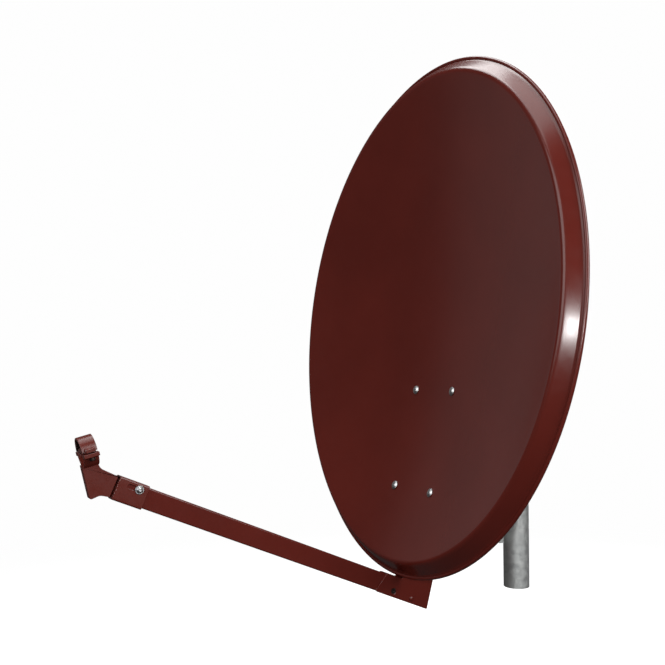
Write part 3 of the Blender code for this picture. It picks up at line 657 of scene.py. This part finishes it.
def bowl_point(x, up):
    """The bowl's front surface, at x and at this height in the crease's plane."""
    tilt = math.radians(BORESIGHT_ELEVATION)
    boresight = Vector((0, -math.cos(tilt), math.sin(tilt)))
    upward, _ = crease_axes()
    depth = (HALF_WIDTH**2 - x**2 - (up / HEIGHT_RATIO) ** 2) / (4 * FOCAL_LENGTH)
    return DISH_CENTRE + Vector((x, 0, 0)) + upward * up - boresight * depth


def bowl_normal(x, up):
    step = 0.001
    across = bowl_point(x + step, up) - bowl_point(x - step, up)
    along = bowl_point(x, up + step) - bowl_point(x, up - step)
    return across.cross(along).normalized()


def rim_point(angle, out, back):
    """A point beside the crease: out from it in its plane, and back behind it."""
    upward, forward = crease_axes()
    across = Vector((1, 0, 0))
    tall = HALF_WIDTH * HEIGHT_RATIO
    edge = across * HALF_WIDTH * math.cos(angle) + upward * tall * math.sin(angle)
    normal = (across * math.cos(angle) / HALF_WIDTH + upward * math.sin(angle) / tall).normalized()
    return DISH_CENTRE + edge + normal * out - forward * back


def rim_profile():
    """(out, back) points from the rounded crease down the flare, over its foot and round the rolled bead."""
    bead = Vector((RIM_OUT - BEAD_RADIUS, RIM_BACK))
    foot = bead - Vector((0.0056, 0.0035))
    middle = Vector((foot.x * 0.60, foot.y * 0.58))
    start = middle.normalized() * CREASE_ROUND
    flare = bend(start, middle, foot, 10)
    roll = [bead + Vector((x, -y)) for x, y in arc((0, 0), BEAD_RADIUS, 150, -120, 26)]
    corner = bend(flare[-1].lerp(flare[-2], 0.6), foot, foot.lerp(roll[0], 0.3), 4)
    return flare[:-1] + corner + roll


def reflector_column(angle, profile):
    """All points on one radius of the reflector's front, from near the middle to the bead's end."""
    last = 1 - CREASE_ROUND / HALF_WIDTH
    tall = HALF_WIDTH * HEIGHT_RATIO
    shares = [last * (i + 1) / BOWL_RINGS for i in range(BOWL_RINGS)]
    points = [bowl_point(HALF_WIDTH * s * math.cos(angle), tall * s * math.sin(angle)) for s in shares]
    points += bend(points[-1], rim_point(angle, 0, 0), rim_point(angle, *profile[0]), 10)[1:]
    return points + [rim_point(angle, *place) for place in profile[1:]]


def bolt_frames():
    """A frame on the bowl's surface for each reflector bolt, with z pointing out of its front."""
    frames = []
    for down in BOLT_DOWN:
        for x in (-BOLT_X, BOLT_X):
            forward = bowl_normal(x, -down)
            up = forward.cross(Vector((1, 0, 0))).normalized()
            frames.append(frame_of(bowl_point(x, -down), up.cross(forward), up, forward))
    return frames


def make_reflector():
    profile = rim_profile()
    builder = bmesh.new()
    middle = builder.verts.new(bowl_point(0, 0))
    columns = []
    for i in range(RIM_SEGMENTS):
        angle = 2 * math.pi * i / RIM_SEGMENTS
        columns.append([builder.verts.new(point) for point in reflector_column(angle, profile)])
    for column, following in zip(columns, columns[1:] + columns[:1]):
        builder.faces.new((middle, column[0], following[0]))
        for i in range(len(column) - 1):
            builder.faces.new((column[i], column[i + 1], following[i + 1], following[i]))
    mesh = bpy.data.meshes.new("reflector")
    builder.to_mesh(mesh)
    builder.free()
    shape = bpy.data.objects.new("reflector", mesh)
    bpy.context.scene.collection.objects.link(shape)
    thickness = shape.modifiers.new("sheet", "SOLIDIFY")
    thickness.thickness = SHEET
    thickness.offset = -1
    thickness.use_even_offset = True
    holes = [rod(M6 + SLOT_PLAY, -0.004, 0.004, place, 32) for place in bolt_frames()]
    return cut_sheet(shape, holes)


def cut_sheet(shape, holes):
    """Cuts the holes without dissolving the sheet's nearly flat grid."""
    for hole in holes:
        modifier = shape.modifiers.new("hole", "BOOLEAN")
        modifier.operation = "DIFFERENCE"
        modifier.solver = "EXACT"
        modifier.object = hole
    evaluated = shape.evaluated_get(bpy.context.evaluated_depsgraph_get())
    shape.data, old = bpy.data.meshes.new_from_object(evaluated), shape.data
    shape.modifiers.clear()
    bpy.data.meshes.remove(old)
    for hole in holes:
        bpy.data.objects.remove(hole)
    return shape


def make_carriage_bolt(place):
    """A mushroom head on the bowl's front, a shank through the boss and a thread in the nut."""
    head = 0.0078
    seat = 0.0005
    edge = seat + 0.0006
    rise = 0.0030
    sphere = (head**2 + rise**2) / (2 * rise)
    tilt = math.asin(head / sphere)
    turns = [tilt * i / 10 for i in range(10)]
    rows = [(sphere * math.sin(turn), edge + rise - sphere * (1 - math.cos(turn))) for turn in turns]
    rows += [(head - 0.00005, edge + 0.0002), (head, edge), (head - 0.0001, seat + 0.0001)]
    rows += [(head - 0.0003, seat), (M6, seat), (M6, BOSS_BACK)]
    tip = NUT_BACK - 0.0035
    rows += thread_rows(M6, M6_PITCH, BOSS_BACK - 0.0002, tip + 0.0006)
    rows += [(M6 * TIP_RATIO, tip), (0, tip)]
    return spun(rows, place)


def build_reflector():
    show("reflector", make_reflector(), "powder_coat", 28)
    bore = M6 + GAP
    for number, place in enumerate(bolt_frames(), 1):
        show(f"reflector_bolt_{number}", make_carriage_bolt(place), "bright_zinc")
        washer = ring(bore, 0.0070, WASHER_BACK, BOSS_BACK - GAP, place)
        show(f"reflector_washer_{number}", washer, "bright_zinc")
        shape = nut(M6_HEXAGON, bore, NUT_BACK, WASHER_BACK - GAP, place)
        show(f"reflector_nut_{number}", shape, "bright_zinc")


# Tilting channel

def channel_point(depth, up):
    """A point of the channel's own frame, in world Y and Z."""
    place = CHANNEL @ Vector((depth, up, 0))
    return place.y, place.z


def socket_bottom():
    """The socket's two lower corners: its bottom edge runs just under the arm."""
    level = -ARM_HALF_HEIGHT - 0.0008
    front = ARM @ Vector((0.1405, level, 0))
    slope = ARM.to_3x3() @ Vector((1, 0, 0))
    back = CHANNEL.inverted() @ front
    run = (CHANNEL_DEPTH - back.x) / (CHANNEL.inverted().to_3x3() @ slope).x
    corner = front + slope * run
    return (front.y, front.z), (corner.y, corner.z)


def channel_outline():
    front_low, back_low = socket_bottom()
    above_arm = ARM_HALF_HEIGHT + 0.0018
    rim_low = ARM @ Vector((0.1760, above_arm, 0))
    front_high = ARM @ Vector((0.1520, above_arm, 0))
    corners = [
        front_low,
        back_low,
        channel_point(CHANNEL_DEPTH, 0.020),
        channel_point(0.058, 0.150),
        channel_point(PLATE_BACK - 0.001, 0.150),
        channel_point(PLATE_BACK - 0.001, -0.020),
        (rim_low.y + 0.010, rim_low.z - 0.004),
        (front_high.y, front_high.z),
    ]
    return rounded(corners, [0.003, 0.002, 0.012, 0.012, 0, 0, 0.004, 0.003])


def make_channel():
    outline = channel_outline()
    _, back_low = socket_bottom()
    cheeks = [
        prism(outline, CHANNEL_INNER, CHANNEL_OUTER, WORLD_SIDE),
        prism(outline, -CHANNEL_OUTER, -CHANNEL_INNER, WORLD_SIDE),
    ]
    web_low = (CHANNEL.inverted() @ Vector((0, *back_low))).y
    web_depths = (CHANNEL_DEPTH - 0.002, CHANNEL_DEPTH)
    web_widths = (-CHANNEL_INNER - 0.001, CHANNEL_INNER + 0.001)
    web = block(web_depths, (web_low + 0.003, -0.010), web_widths, CHANNEL)
    half = PLATE_HALF_WIDTH
    plate_corners = [(-half, PLATE_HIGH), (half, PLATE_HIGH), (half, PLATE_LOW), (-half, PLATE_LOW)]
    plate = prism(rounded(plate_corners, 0.014), PLATE_FRONT, PLATE_BACK, CHANNEL @ quarter_turn("Y"))
    bosses = [rod(BOSS_RADIUS, BOSS_BACK, BOSS_FRONT, place) for place in bolt_frames()]
    shape = join(plate, cheeks + [web] + bosses)
    bore = M6 + SLOT_PLAY
    holes = [rod(bore, BOSS_BACK - 0.002, BOSS_FRONT + 0.002, place, 32) for place in bolt_frames()]
    holes.append(rod(M8 + GAP, *ACROSS, across_at(ELEVATION_AXIS)))
    # The lock bolt stays on the mast bracket, so the slot lets the channel turn past it
    first = -90 + ELEVATION_LOW - 1
    last = -90 + ELEVATION_HIGH + 1
    slot = arc_slot_outline((PIVOT_DEPTH, PIVOT_UP), LOCK_RADIUS, first, last, M8 + SLOT_PLAY)
    holes.append(prism(slot, *ACROSS, CHANNEL))
    for place, radius in ((FOLD_AXIS, M5), (ARM_LOCK_AXIS, M6)):
        holes.append(rod(radius + GAP, *ACROSS, across_at(place), 32))
    # A countersink for the arm's lock screw on the right cheek
    above = CHANNEL_OUTER + 0.002
    sink = [(0, CHANNEL_INNER), (M6 + GAP, CHANNEL_INNER), (0.0053, CHANNEL_OUTER), (0.0053, above)]
    holes.append(spun(sink + [(0, above)], across_at(ARM_LOCK_AXIS)))
    return soften(cut(shape, holes), 0.0004)


# Mast bracket and its clamps

def make_mast_bracket():
    pivot = (ELEVATION_AXIS.y, ELEVATION_AXIS.z)
    lock = (LOCK_AXIS.y, LOCK_AXIS.z)
    foot = [(WEB_BACK, BRACKET_FOOT), (WEB_FRONT - 0.0075, BRACKET_FOOT), (WEB_BACK, BRACKET_TOP)]
    cheek_outline = hull(foot + arc(pivot, 0.012, 0, 355, 71) + arc(lock, 0.010, 0, 355, 71))
    cheeks = [
        prism(cheek_outline, CHEEK_INNER, CHEEK_OUTER, WORLD_SIDE),
        prism(cheek_outline, -CHEEK_OUTER, -CHEEK_INNER, WORLD_SIDE),
    ]
    half = CHEEK_OUTER - 0.0002
    right = [(half, BRACKET_FOOT), (half, 0.150), (WEB_HALF_WIDTH, 0.176), (WEB_HALF_WIDTH, BRACKET_TOP)]
    corners = right + [(-x, y) for x, y in right[::-1]]
    web_outline = rounded(corners, [0, 0.004, 0.006, 0.006, 0.006, 0.006, 0.004, 0])
    web = prism(web_outline, -WEB_BACK, -WEB_FRONT, FACING_BACK)
    shape = join(web, cheeks)
    holes = [rod(M8 + GAP, *ACROSS, side_frame(*place)) for place in (pivot, lock)]
    y, z, radius = LIGHTENING_HOLE
    holes.append(rod(radius, *ACROSS, side_frame(y, z), 64))
    for height in U_BOLT_HEIGHTS:
        for x in (-U_BOLT_X, U_BOLT_X):
            hole_frame = FACING_BACK @ Matrix.Translation((x, height, 0))
            holes.append(rod(M8 + GAP, -WEB_BACK - 0.01, -WEB_FRONT + 0.01, hole_frame))
    return soften(cut(shape, holes), 0.0004)


def make_saddle(height):
    """A block with a toothed V that grips the mast, bored for the U-bolt's legs."""
    # The V's flanks are at 45 degrees and touch the mast with their teeth
    corner = (MAST_RADIUS + GAP) * math.sqrt(2)
    front = WEB_BACK + GAP
    mouth = -0.0160
    half_width = 0.038
    half_height = 0.011
    teeth = 5
    tooth_depth = 0.0016
    apex = -corner - tooth_depth / 2
    notch = []
    for tooth in range(teeth):
        low = apex + (mouth - apex) * tooth / teeth
        high = apex + (mouth - apex) * (tooth + 1) / teeth
        middle = (low + high) / 2
        notch.append((low + corner + tooth_depth, low))
        notch.append((middle + corner, middle))
    notch.append((mouth + corner + tooth_depth, mouth))
    right = [(0, front), (half_width, front), (half_width, mouth)] + notch[::-1]
    outline = right + [(-x, y) for x, y in right[:0:-1]]
    shape = prism(outline, height - half_height, height + half_height, UPRIGHT)
    drill = frame_of((0, 0, height), Vector((-1, 0, 0)), Vector((0, 0, 1)), Vector((0, 1, 0)))
    legs = [rod(M8 + GAP, -0.06, 0.0, drill @ Matrix.Translation((x, 0, 0))) for x in (-U_BOLT_X, U_BOLT_X)]
    return soften(cut(shape, legs), 0.0003)


def make_u_bolt(height):
    """A round bar bent about the back of the mast. Its threaded legs run to the bracket's front."""
    threaded = 0.026
    steps = round(threaded / M8_PITCH * THREAD_STEPS)
    leg = [U_BOLT_TIP + 0.0008 + threaded * i / steps for i in range(steps + 1)]
    right = [(U_BOLT_X, U_BOLT_TIP)] + [(U_BOLT_X, y) for y in leg]
    curve = right + arc((0, 0), U_BOLT_X, 0, 180, 48) + [(-x, y) for x, y in right[::-1]]
    path = [Vector((x, y, height)) for x, y in curve]
    last = len(path) - 1

    def radius_at(i, angle):
        step = min(i, last - i)
        if step == 0:
            return M8 * TIP_RATIO
        if step > steps + 1:
            return M8
        turn = angle if i < last / 2 else -angle
        return M8 - thread_dip(M8_PITCH, path[i].y, turn, step - 1, steps)

    return swept(path, radius_at)


def build_mast_clamp():
    show("mast_bracket", make_mast_bracket(), "galvanised_steel")
    seat = -U_WASHER_FRONT + GAP
    for label, height in zip(("lower", "upper"), U_BOLT_HEIGHTS):
        show(f"{label}_mast_saddle", make_saddle(height), "galvanised_steel")
        show(f"{label}_u_bolt", make_u_bolt(height), "bright_zinc")
        for side, x in (("left", -U_BOLT_X), ("right", U_BOLT_X)):
            facing = FACING_BACK @ Matrix.Translation((x, height, 0))
            washer = ring(M8 + GAP, 0.0080, -WEB_FRONT + GAP, -U_WASHER_FRONT, facing)
            show(f"{label}_u_bolt_washer_{side}", washer, "bright_zinc")
            shape = nut(M8_HEXAGON, M8 + GAP, seat, seat + M8_NUT, facing)
            show(f"{label}_u_bolt_nut_{side}", shape, "bright_zinc")


def build_cross_bolt(name, place):
    """A bolt across both cheeks with its washers, nut and the spacer that keeps the cheeks apart."""
    place = across_at(place)
    washer_in = CHEEK_OUTER + GAP
    washer_out = washer_in + 0.0016
    seat = washer_out + GAP
    nut_out = seat + M8_NUT
    bolt = hex_bolt(M8, M8_PITCH, M8_HEXAGON, 0.0053, seat, -nut_out - 0.0035, place, 0.014)
    show(f"{name}_bolt", bolt, "bright_zinc")
    for side, low, high in (("right", washer_in, washer_out), ("left", -washer_out, -washer_in)):
        show(f"{name}_washer_{side}", ring(M8 + GAP, 0.0082, low, high, place), "bright_zinc")
    shape = nut(M8_HEXAGON, M8 + GAP, -nut_out, -seat, place, M8_FLANGE, True)
    show(f"{name}_nut", shape, "bright_zinc")
    spacer = ring(M8 + GAP, 0.0065, -CHANNEL_INNER + GAP, CHANNEL_INNER - GAP, place)
    show(f"{name}_spacer", spacer, "bright_zinc")


# Feed arm

def rounded_box_outline(half_width, half_height, radius):
    right = [(-half_height, half_width), (half_height, half_width)]
    left = [(-half_height, -half_width), (half_height, -half_width)]
    return rounded(left + right[::-1], radius)


def make_feed_arm():
    outer = rounded_box_outline(ARM_HALF_WIDTH, ARM_HALF_HEIGHT, 0.0022)
    shape = prism(outer, ARM_TIP, ARM_TAIL, ALONG_ARM)
    inner = rounded_box_outline(ARM_HALF_WIDTH - ARM_WALL, ARM_HALF_HEIGHT - ARM_WALL, 0.0012)
    holes = [prism(inner, ARM_TIP - 0.01, ARM_TAIL + 0.01, ALONG_ARM)]
    holes.append(rod(M5 + GAP, *ACROSS, across_at(FOLD_AXIS), 32))
    # A curved slot, open at the arm's top, lets the arm swing down past its lock screw
    reach = Vector(ARM_LOCK) - Vector(FOLD_PIVOT)
    at_rest = math.degrees(math.atan2(reach.y, reach.x))
    slot = arc_slot_outline(FOLD_PIVOT, reach.length, at_rest - 52, at_rest, M6 + SLOT_PLAY)
    holes.append(prism(slot, *ACROSS, ARM))
    holes.append(rod(M6 + GAP, *ACROSS, across_at(HOLDER_SCREW_AXIS), 32))
    return soften(cut(shape, holes), 0.0003)


def make_rivet(place):
    """A rivet across the socket, with a low round head on each cheek."""
    seat = CHANNEL_OUTER + GAP
    head = 0.0046
    rise = 0.0026
    turns = [math.radians(9 * i) for i in range(10)]
    dome = [(head * math.cos(turn), seat + rise * math.sin(turn)) for turn in turns]
    side = [(M5, seat)] + dome + [(0, seat + rise)]
    return spun([(r, -h) for r, h in side[::-1]] + side, place)


def make_lock_screw(place):
    """A countersunk hexagon-socket screw, flush with the socket's right cheek. Its black finish is also
    painted shade, standing for the dark shade of an open hole.
    """
    top = CHANNEL_OUTER - 0.0001
    tip = -CHANNEL_OUTER - GAP - 0.0075
    cone_low = CHANNEL_INNER + 0.0002
    rows = [(0, tip), (0.0023, tip)] + thread_rows(M6, M6_PITCH, tip + 0.0006, tip + 0.016)
    rows += [(M6, cone_low - GAP), (0.0048, top - 0.0001), (0.0049, top)]
    key = hexagon(0.0040)
    rows += [(lambda a: key(a) + 0.0002, top), (key, top - 0.0002), (key, top - 0.0016), (0, top - 0.0020)]
    return spun(rows, place, 60)


def build_arm():
    show("feed_arm", make_feed_arm(), "powder_coat")
    pivot = across_at(FOLD_AXIS)
    show("arm_pivot_rivet", make_rivet(pivot), "powder_coat")
    inside = ARM_HALF_WIDTH - ARM_WALL - GAP
    show("arm_pivot_sleeve", ring(M5 + GAP, 0.0045, -inside, inside, pivot), "bright_zinc")
    lock = across_at(ARM_LOCK_AXIS)
    # The lock screw's black head is painted shade as well as black oxide: it stands for the dark shade of an
    # open hole in the cheek
    show("arm_lock_screw", make_lock_screw(lock), "dark_screw_steel")
    nut_in = -CHANNEL_OUTER - GAP
    shape = nut(M6_HEXAGON, M6 + GAP, nut_in - M6_NUT, nut_in, lock, M6_FLANGE, True)
    show("arm_lock_nut", shape, "bright_zinc")


# Converter holder

def clamp_frame(x):
    """A frame for a clamp screw: z runs up through the ears."""
    return RING_SECTION @ Matrix.Translation((x, 0, 0)) @ quarter_turn("X", -1)


def ring_and_ears(ear_half_length, ear):
    """The clamp's whole round body, before its bore, and the flat bar that makes its two ears."""
    body = rod(RING_OUTER, -RING_HALF_LENGTH, RING_HALF_LENGTH, RING_SECTION, 120)
    low, high = ear
    outline = rounded([(EAR_REACH, low), (EAR_REACH, high), (-EAR_REACH, high), (-EAR_REACH, low)], 0.0012)
    return [body, prism(outline, -ear_half_length, ear_half_length, RING_SECTION)]


def make_holder():
    width, height = SLEEVE_OUTER
    sleeve = prism(rounded_box_outline(width, height, 0.003), SLEEVE[0], SLEEVE[1], ALONG_ARM)
    sleeve_top = ARM @ Vector((SLEEVE[0] + 0.004, 0.0160, 0))
    sleeve_low = ARM @ Vector((SLEEVE[0] + 0.004, -0.0150, 0))
    neck_corners = [
        (sleeve_low.y, sleeve_low.z),
        (-0.7800, 0.2212),
        (-0.7945, 0.2155),
        (-0.8095, 0.2760),
        (-0.7850, 0.2800),
        (-0.7815, 0.2620),
        (sleeve_top.y, sleeve_top.z),
    ]
    neck_outline = rounded(neck_corners, [0, 0.012, 0.003, 0, 0, 0.014, 0])
    neck = prism(neck_outline, -NECK_HALF_WIDTH, NECK_HALF_WIDTH, WORLD_SIDE)
    shape = join(sleeve, [neck] + ring_and_ears(RING_HALF_LENGTH, CRADLE_EAR))
    beyond = RING_HALF_LENGTH + 0.0013
    above = block((-0.05, 0.05), (CRADLE_JOINT, 0.05), (-beyond, beyond), RING_SECTION)
    cutters = [above, rod(RING_BORE, -2 * beyond, 2 * beyond, RING_SECTION, 120)]
    pocket = rounded_box_outline(ARM_HALF_WIDTH + GAP, ARM_HALF_HEIGHT + GAP, 0.0022)
    cutters.append(prism(pocket, ARM_TIP - POCKET_BEYOND, SLEEVE[1] + 0.01, ALONG_ARM))
    slot = slot_outline((SLOT[0], HOLDER_SCREW[1]), (SLOT[1], HOLDER_SCREW[1]), M6 + SLOT_PLAY)
    cutters.append(prism(slot, *ACROSS, ARM))
    for x in (-EAR_X, EAR_X):
        cutters.append(rod(M5 + GAP, -0.02, 0.01, clamp_frame(x), 32))
    return soften(cut(shape, cutters), 0.0005, 3)


def make_clamp_cap():
    full_ring, ears = ring_and_ears(EAR_HALF_LENGTH, CAP_EAR)
    beyond = RING_HALF_LENGTH + 0.0013
    below = block((-0.05, 0.05), (-0.05, CAP_JOINT), (-beyond, beyond), RING_SECTION)
    cutters = [below, rod(RING_BORE, -2 * beyond, 2 * beyond, RING_SECTION, 120)]
    cutters += [rod(M5 + GAP, -0.01, 0.02, clamp_frame(x), 32) for x in (-EAR_X, EAR_X)]
    return soften(cut(join(full_ring, [ears]), cutters), 0.0005, 3)


def make_clamp_screw(place):
    """A cap screw from below: its head sits under the cradle's ear and its tip ends in the cap's ear."""
    seat = CRADLE_EAR[0] - GAP
    head = 0.0042
    tip = CAP_EAR[1] - 0.0010
    low = seat - 0.0046
    key = hexagon(0.0040)
    rows = [(0, low + 0.0024), (key, low + 0.0020), (key, low + 0.0002), (lambda a: key(a) + 0.0002, low)]
    rows += [(head - 0.0004, low), (head, low + 0.0005), (head, seat - 0.0002), (head - 0.0002, seat)]
    rows += [(M5, seat), (M5, -0.002)] + thread_rows(M5, M5_PITCH, -0.0018, tip - 0.0006)
    return spun(rows + [(0.0019, tip), (0, tip)], place, 60)


def make_holder_screw(place):
    """A pan-head screw with a hexagon key, over its washer on the sleeve's right side."""
    seat = SLEEVE_OUTER[0] + 2 * GAP + 0.0012
    tip = -SLEEVE_OUTER[0] - GAP - 0.0075
    head = 0.0050
    rise = 0.0034
    key = hexagon(0.0030)
    rows = [(0, tip), (0.0023, tip)] + thread_rows(M6, M6_PITCH, tip + 0.0006, tip + 0.014)
    rows += [(M6, seat), (head - 0.0002, seat), (head, seat + 0.0003)]
    turns = [math.radians(angle) for angle in range(14, 62, 6)]
    rows += [(head * math.cos(turn), seat + rise * math.sin(turn)) for turn in turns]
    rows += [(lambda a: key(a) + 0.0003, seat + rise), (key, seat + rise - 0.0003), (key, seat + 0.0012)]
    return spun(rows + [(0, seat + 0.0009)], place, 60)


def build_holder():
    show("converter_holder", make_holder(), "coated_casting")
    show("clamp_cap", make_clamp_cap(), "coated_casting")
    for side, x in (("left", -EAR_X), ("right", EAR_X)):
        show(f"clamp_screw_{side}", make_clamp_screw(clamp_frame(x)), "dark_screw_steel")
    place = across_at(HOLDER_SCREW_AXIS)
    washer_in = SLEEVE_OUTER[0] + GAP
    washer = ring(M6 + GAP, 0.0066, washer_in, washer_in + 0.0012, place)
    show("holder_washer", washer, "bright_zinc")
    show("holder_screw", make_holder_screw(place), "bright_zinc")
    shape = nut(M6_HEXAGON, M6 + GAP, -washer_in - M6_NUT, -washer_in, place, M6_FLANGE, True)
    show("holder_nut", shape, "bright_zinc")


# Mast

def build_mast():
    tube = ring(MAST_RADIUS - MAST_WALL, MAST_RADIUS, 0, MAST_LENGTH, UPRIGHT, 0.0004, 96)
    show("mast_tube", tube, "galvanised_steel")
    top = MAST_LENGTH + GAP
    skirt = MAST_RADIUS - MAST_WALL - GAP
    low = top - 0.015
    rows = [(0, top - 0.0005), (skirt - 0.002, top - 0.0005), (skirt - 0.002, low), (skirt - 0.0004, low)]
    rows += [(skirt, low + 0.0006), (skirt, top), (MAST_RADIUS - 0.0002, top), (MAST_RADIUS, top + 0.0003)]
    rows += [(MAST_RADIUS, top + 0.002)]
    rows += [(MAST_RADIUS - 0.002 + x, top + 0.002 + y) for x, y in arc((0, 0), 0.002, 15, 75, 4)]
    for i in range(1, 6):
        rows.append((MAST_RADIUS * (0.9 - 0.15 * i), top + 0.004 + 0.001 * math.sin(math.radians(15 * i))))
    show("mast_lid", spun(rows + [(0, top + 0.005)], UPRIGHT, 96), "black_plastic")


# Stage

CAMERA_AZIMUTH = 62.87  # degrees from straight in front of the dish towards its right side
CAMERA_ELEVATION = -2.64  # it looks slightly up
CAMERA_PLACE = (1.2936, -1.0532, 0.4037)
CAMERA_LENS = 46.19
FLOOR_LEVEL = -0.42
FLOOR_RADIUS = 3.2
BACKDROP_RADIUS = 9
BACKDROP_LEVELS = (-6, 10)
# Soft boxes about the dish's centre: name, azimuth, elevation, distance, width, height and radiance
SOFT_BOXES = (
    ("camera side lamp", 57.5, 0.8, 1.75, 0.10, 0.08, 310),
    ("overhead box", 0, 76, 2.4, 1.5, 1.5, 2.4),
    ("left high box", -82, 68, 2.4, 1.3, 0.9, 5.6),
    ("right box", 101, 24, 2.6, 1.8, 2.0, 6.0),
    ("front fill", 8, 24, 2.6, 2.0, 2.0, 2.5),
    ("rear fill", -150, 25, 2.8, 2.2, 2.2, 3.0),
    ("left grey panel", -84, 8, 3.0, 2.8, 2.2, 0.13),
)


def direction(azimuth, elevation):
    """From straight in front of the dish, towards its right side, and up."""
    a, e = math.radians(azimuth), math.radians(elevation)
    return Vector((math.sin(a) * math.cos(e), -math.cos(a) * math.cos(e), math.sin(e)))


def make_camera():
    data = bpy.data.cameras.new("camera")
    data.lens = CAMERA_LENS
    data.sensor_width = 36
    data.clip_start = 0.05
    data.clip_end = 60
    camera = bpy.data.objects.new("camera", data)
    bpy.context.scene.collection.objects.link(camera)
    camera.location = CAMERA_PLACE
    camera.rotation_mode = "QUATERNION"
    camera.rotation_quaternion = direction(CAMERA_AZIMUTH, CAMERA_ELEVATION).to_track_quat("Z", "Y")
    bpy.context.scene.camera = camera


def make_light(name, azimuth, elevation, distance, width, height, radiance):
    """A soft box that faces the dish's middle. Its radiance is in watts per square metre and steradian."""
    data = bpy.data.lights.new(name, "AREA")
    data.shape = "RECTANGLE"
    data.size = width
    data.size_y = height
    data.energy = radiance * math.pi * width * height
    light = bpy.data.objects.new(name, data)
    bpy.context.scene.collection.objects.link(light)
    towards = direction(azimuth, elevation)
    light.location = DISH_CENTRE + towards * distance
    light.rotation_mode = "QUATERNION"
    light.rotation_quaternion = towards.to_track_quat("Z", "Y")
    light.visible_camera = False


def glow_material(name, brightness):
    material = bpy.data.materials.new(name)
    material.use_nodes = True
    tree = material.node_tree
    tree.nodes.remove(tree.nodes["Principled BSDF"])
    glow = tree.nodes.new("ShaderNodeEmission")
    glow.inputs["Color"].default_value = (brightness, brightness, brightness, 1)
    tree.links.new(glow.outputs["Emission"], tree.nodes["Material Output"].inputs["Surface"])
    return material


def floor_material():
    """A pale matte floor that brightens to the backdrop's white towards its edge."""
    material = bpy.data.materials.new("pale_floor")
    material.use_nodes = True
    tree = material.node_tree
    matte = tree.nodes["Principled BSDF"]
    matte.inputs["Base Color"].default_value = (0.85, 0.85, 0.85, 1)
    matte.inputs["Roughness"].default_value = 0.9
    matte.inputs["Specular IOR Level"].default_value = 0.1
    matte.inputs["Emission Color"].default_value = (1, 1, 1, 1)
    matte.inputs["Emission Strength"].default_value = 0.62
    glow = tree.nodes.new("ShaderNodeEmission")
    glow.inputs["Color"].default_value = (0.99, 0.99, 0.99, 1)
    place = tree.nodes.new("ShaderNodeTexCoord")
    length = tree.nodes.new("ShaderNodeVectorMath")
    length.operation = "LENGTH"
    fade = tree.nodes.new("ShaderNodeMapRange")
    fade.interpolation_type = "SMOOTHSTEP"
    fade.inputs["From Min"].default_value = FLOOR_RADIUS * 0.25
    fade.inputs["From Max"].default_value = FLOOR_RADIUS * 0.95
    mix = tree.nodes.new("ShaderNodeMixShader")
    tree.links.new(place.outputs["Object"], length.inputs[0])
    tree.links.new(length.outputs["Value"], fade.inputs["Value"])
    tree.links.new(fade.outputs["Result"], mix.inputs["Fac"])
    tree.links.new(matte.outputs["BSDF"], mix.inputs[1])
    tree.links.new(glow.outputs["Emission"], mix.inputs[2])
    tree.links.new(mix.outputs["Shader"], tree.nodes["Material Output"].inputs["Surface"])
    return material


def build_stage():
    make_camera()
    scene = bpy.context.scene
    scene.view_settings.view_transform = "Standard"
    scene.view_settings.look = "None"

    world = bpy.data.worlds.new("dim room")
    world.use_nodes = True
    world.node_tree.nodes["Background"].inputs["Color"].default_value = (0.05, 0.05, 0.05, 1)
    scene.world = world

    floor = rod(FLOOR_RADIUS, FLOOR_LEVEL - 0.01, FLOOR_LEVEL, UPRIGHT, 96)
    floor.name = "floor"
    floor.data.materials.append(floor_material())
    backdrop = rod(BACKDROP_RADIUS, *BACKDROP_LEVELS, UPRIGHT, 96)
    backdrop.name = "backdrop"
    backdrop.data.materials.append(glow_material("white_backdrop", 0.99))
    for sheet in (floor, backdrop):
        sheet.visible_diffuse = False
        sheet.visible_glossy = False
        sheet.visible_transmission = False
    backdrop.visible_shadow = False

    for soft_box in SOFT_BOXES:
        make_light(*soft_box)


build_reflector()
show("reflector_bracket", make_channel(), "powder_coat")
build_mast_clamp()
build_cross_bolt("elevation_pivot", ELEVATION_AXIS)
build_cross_bolt("elevation_lock", LOCK_AXIS)
build_arm()
build_holder()
build_mast()
build_stage()
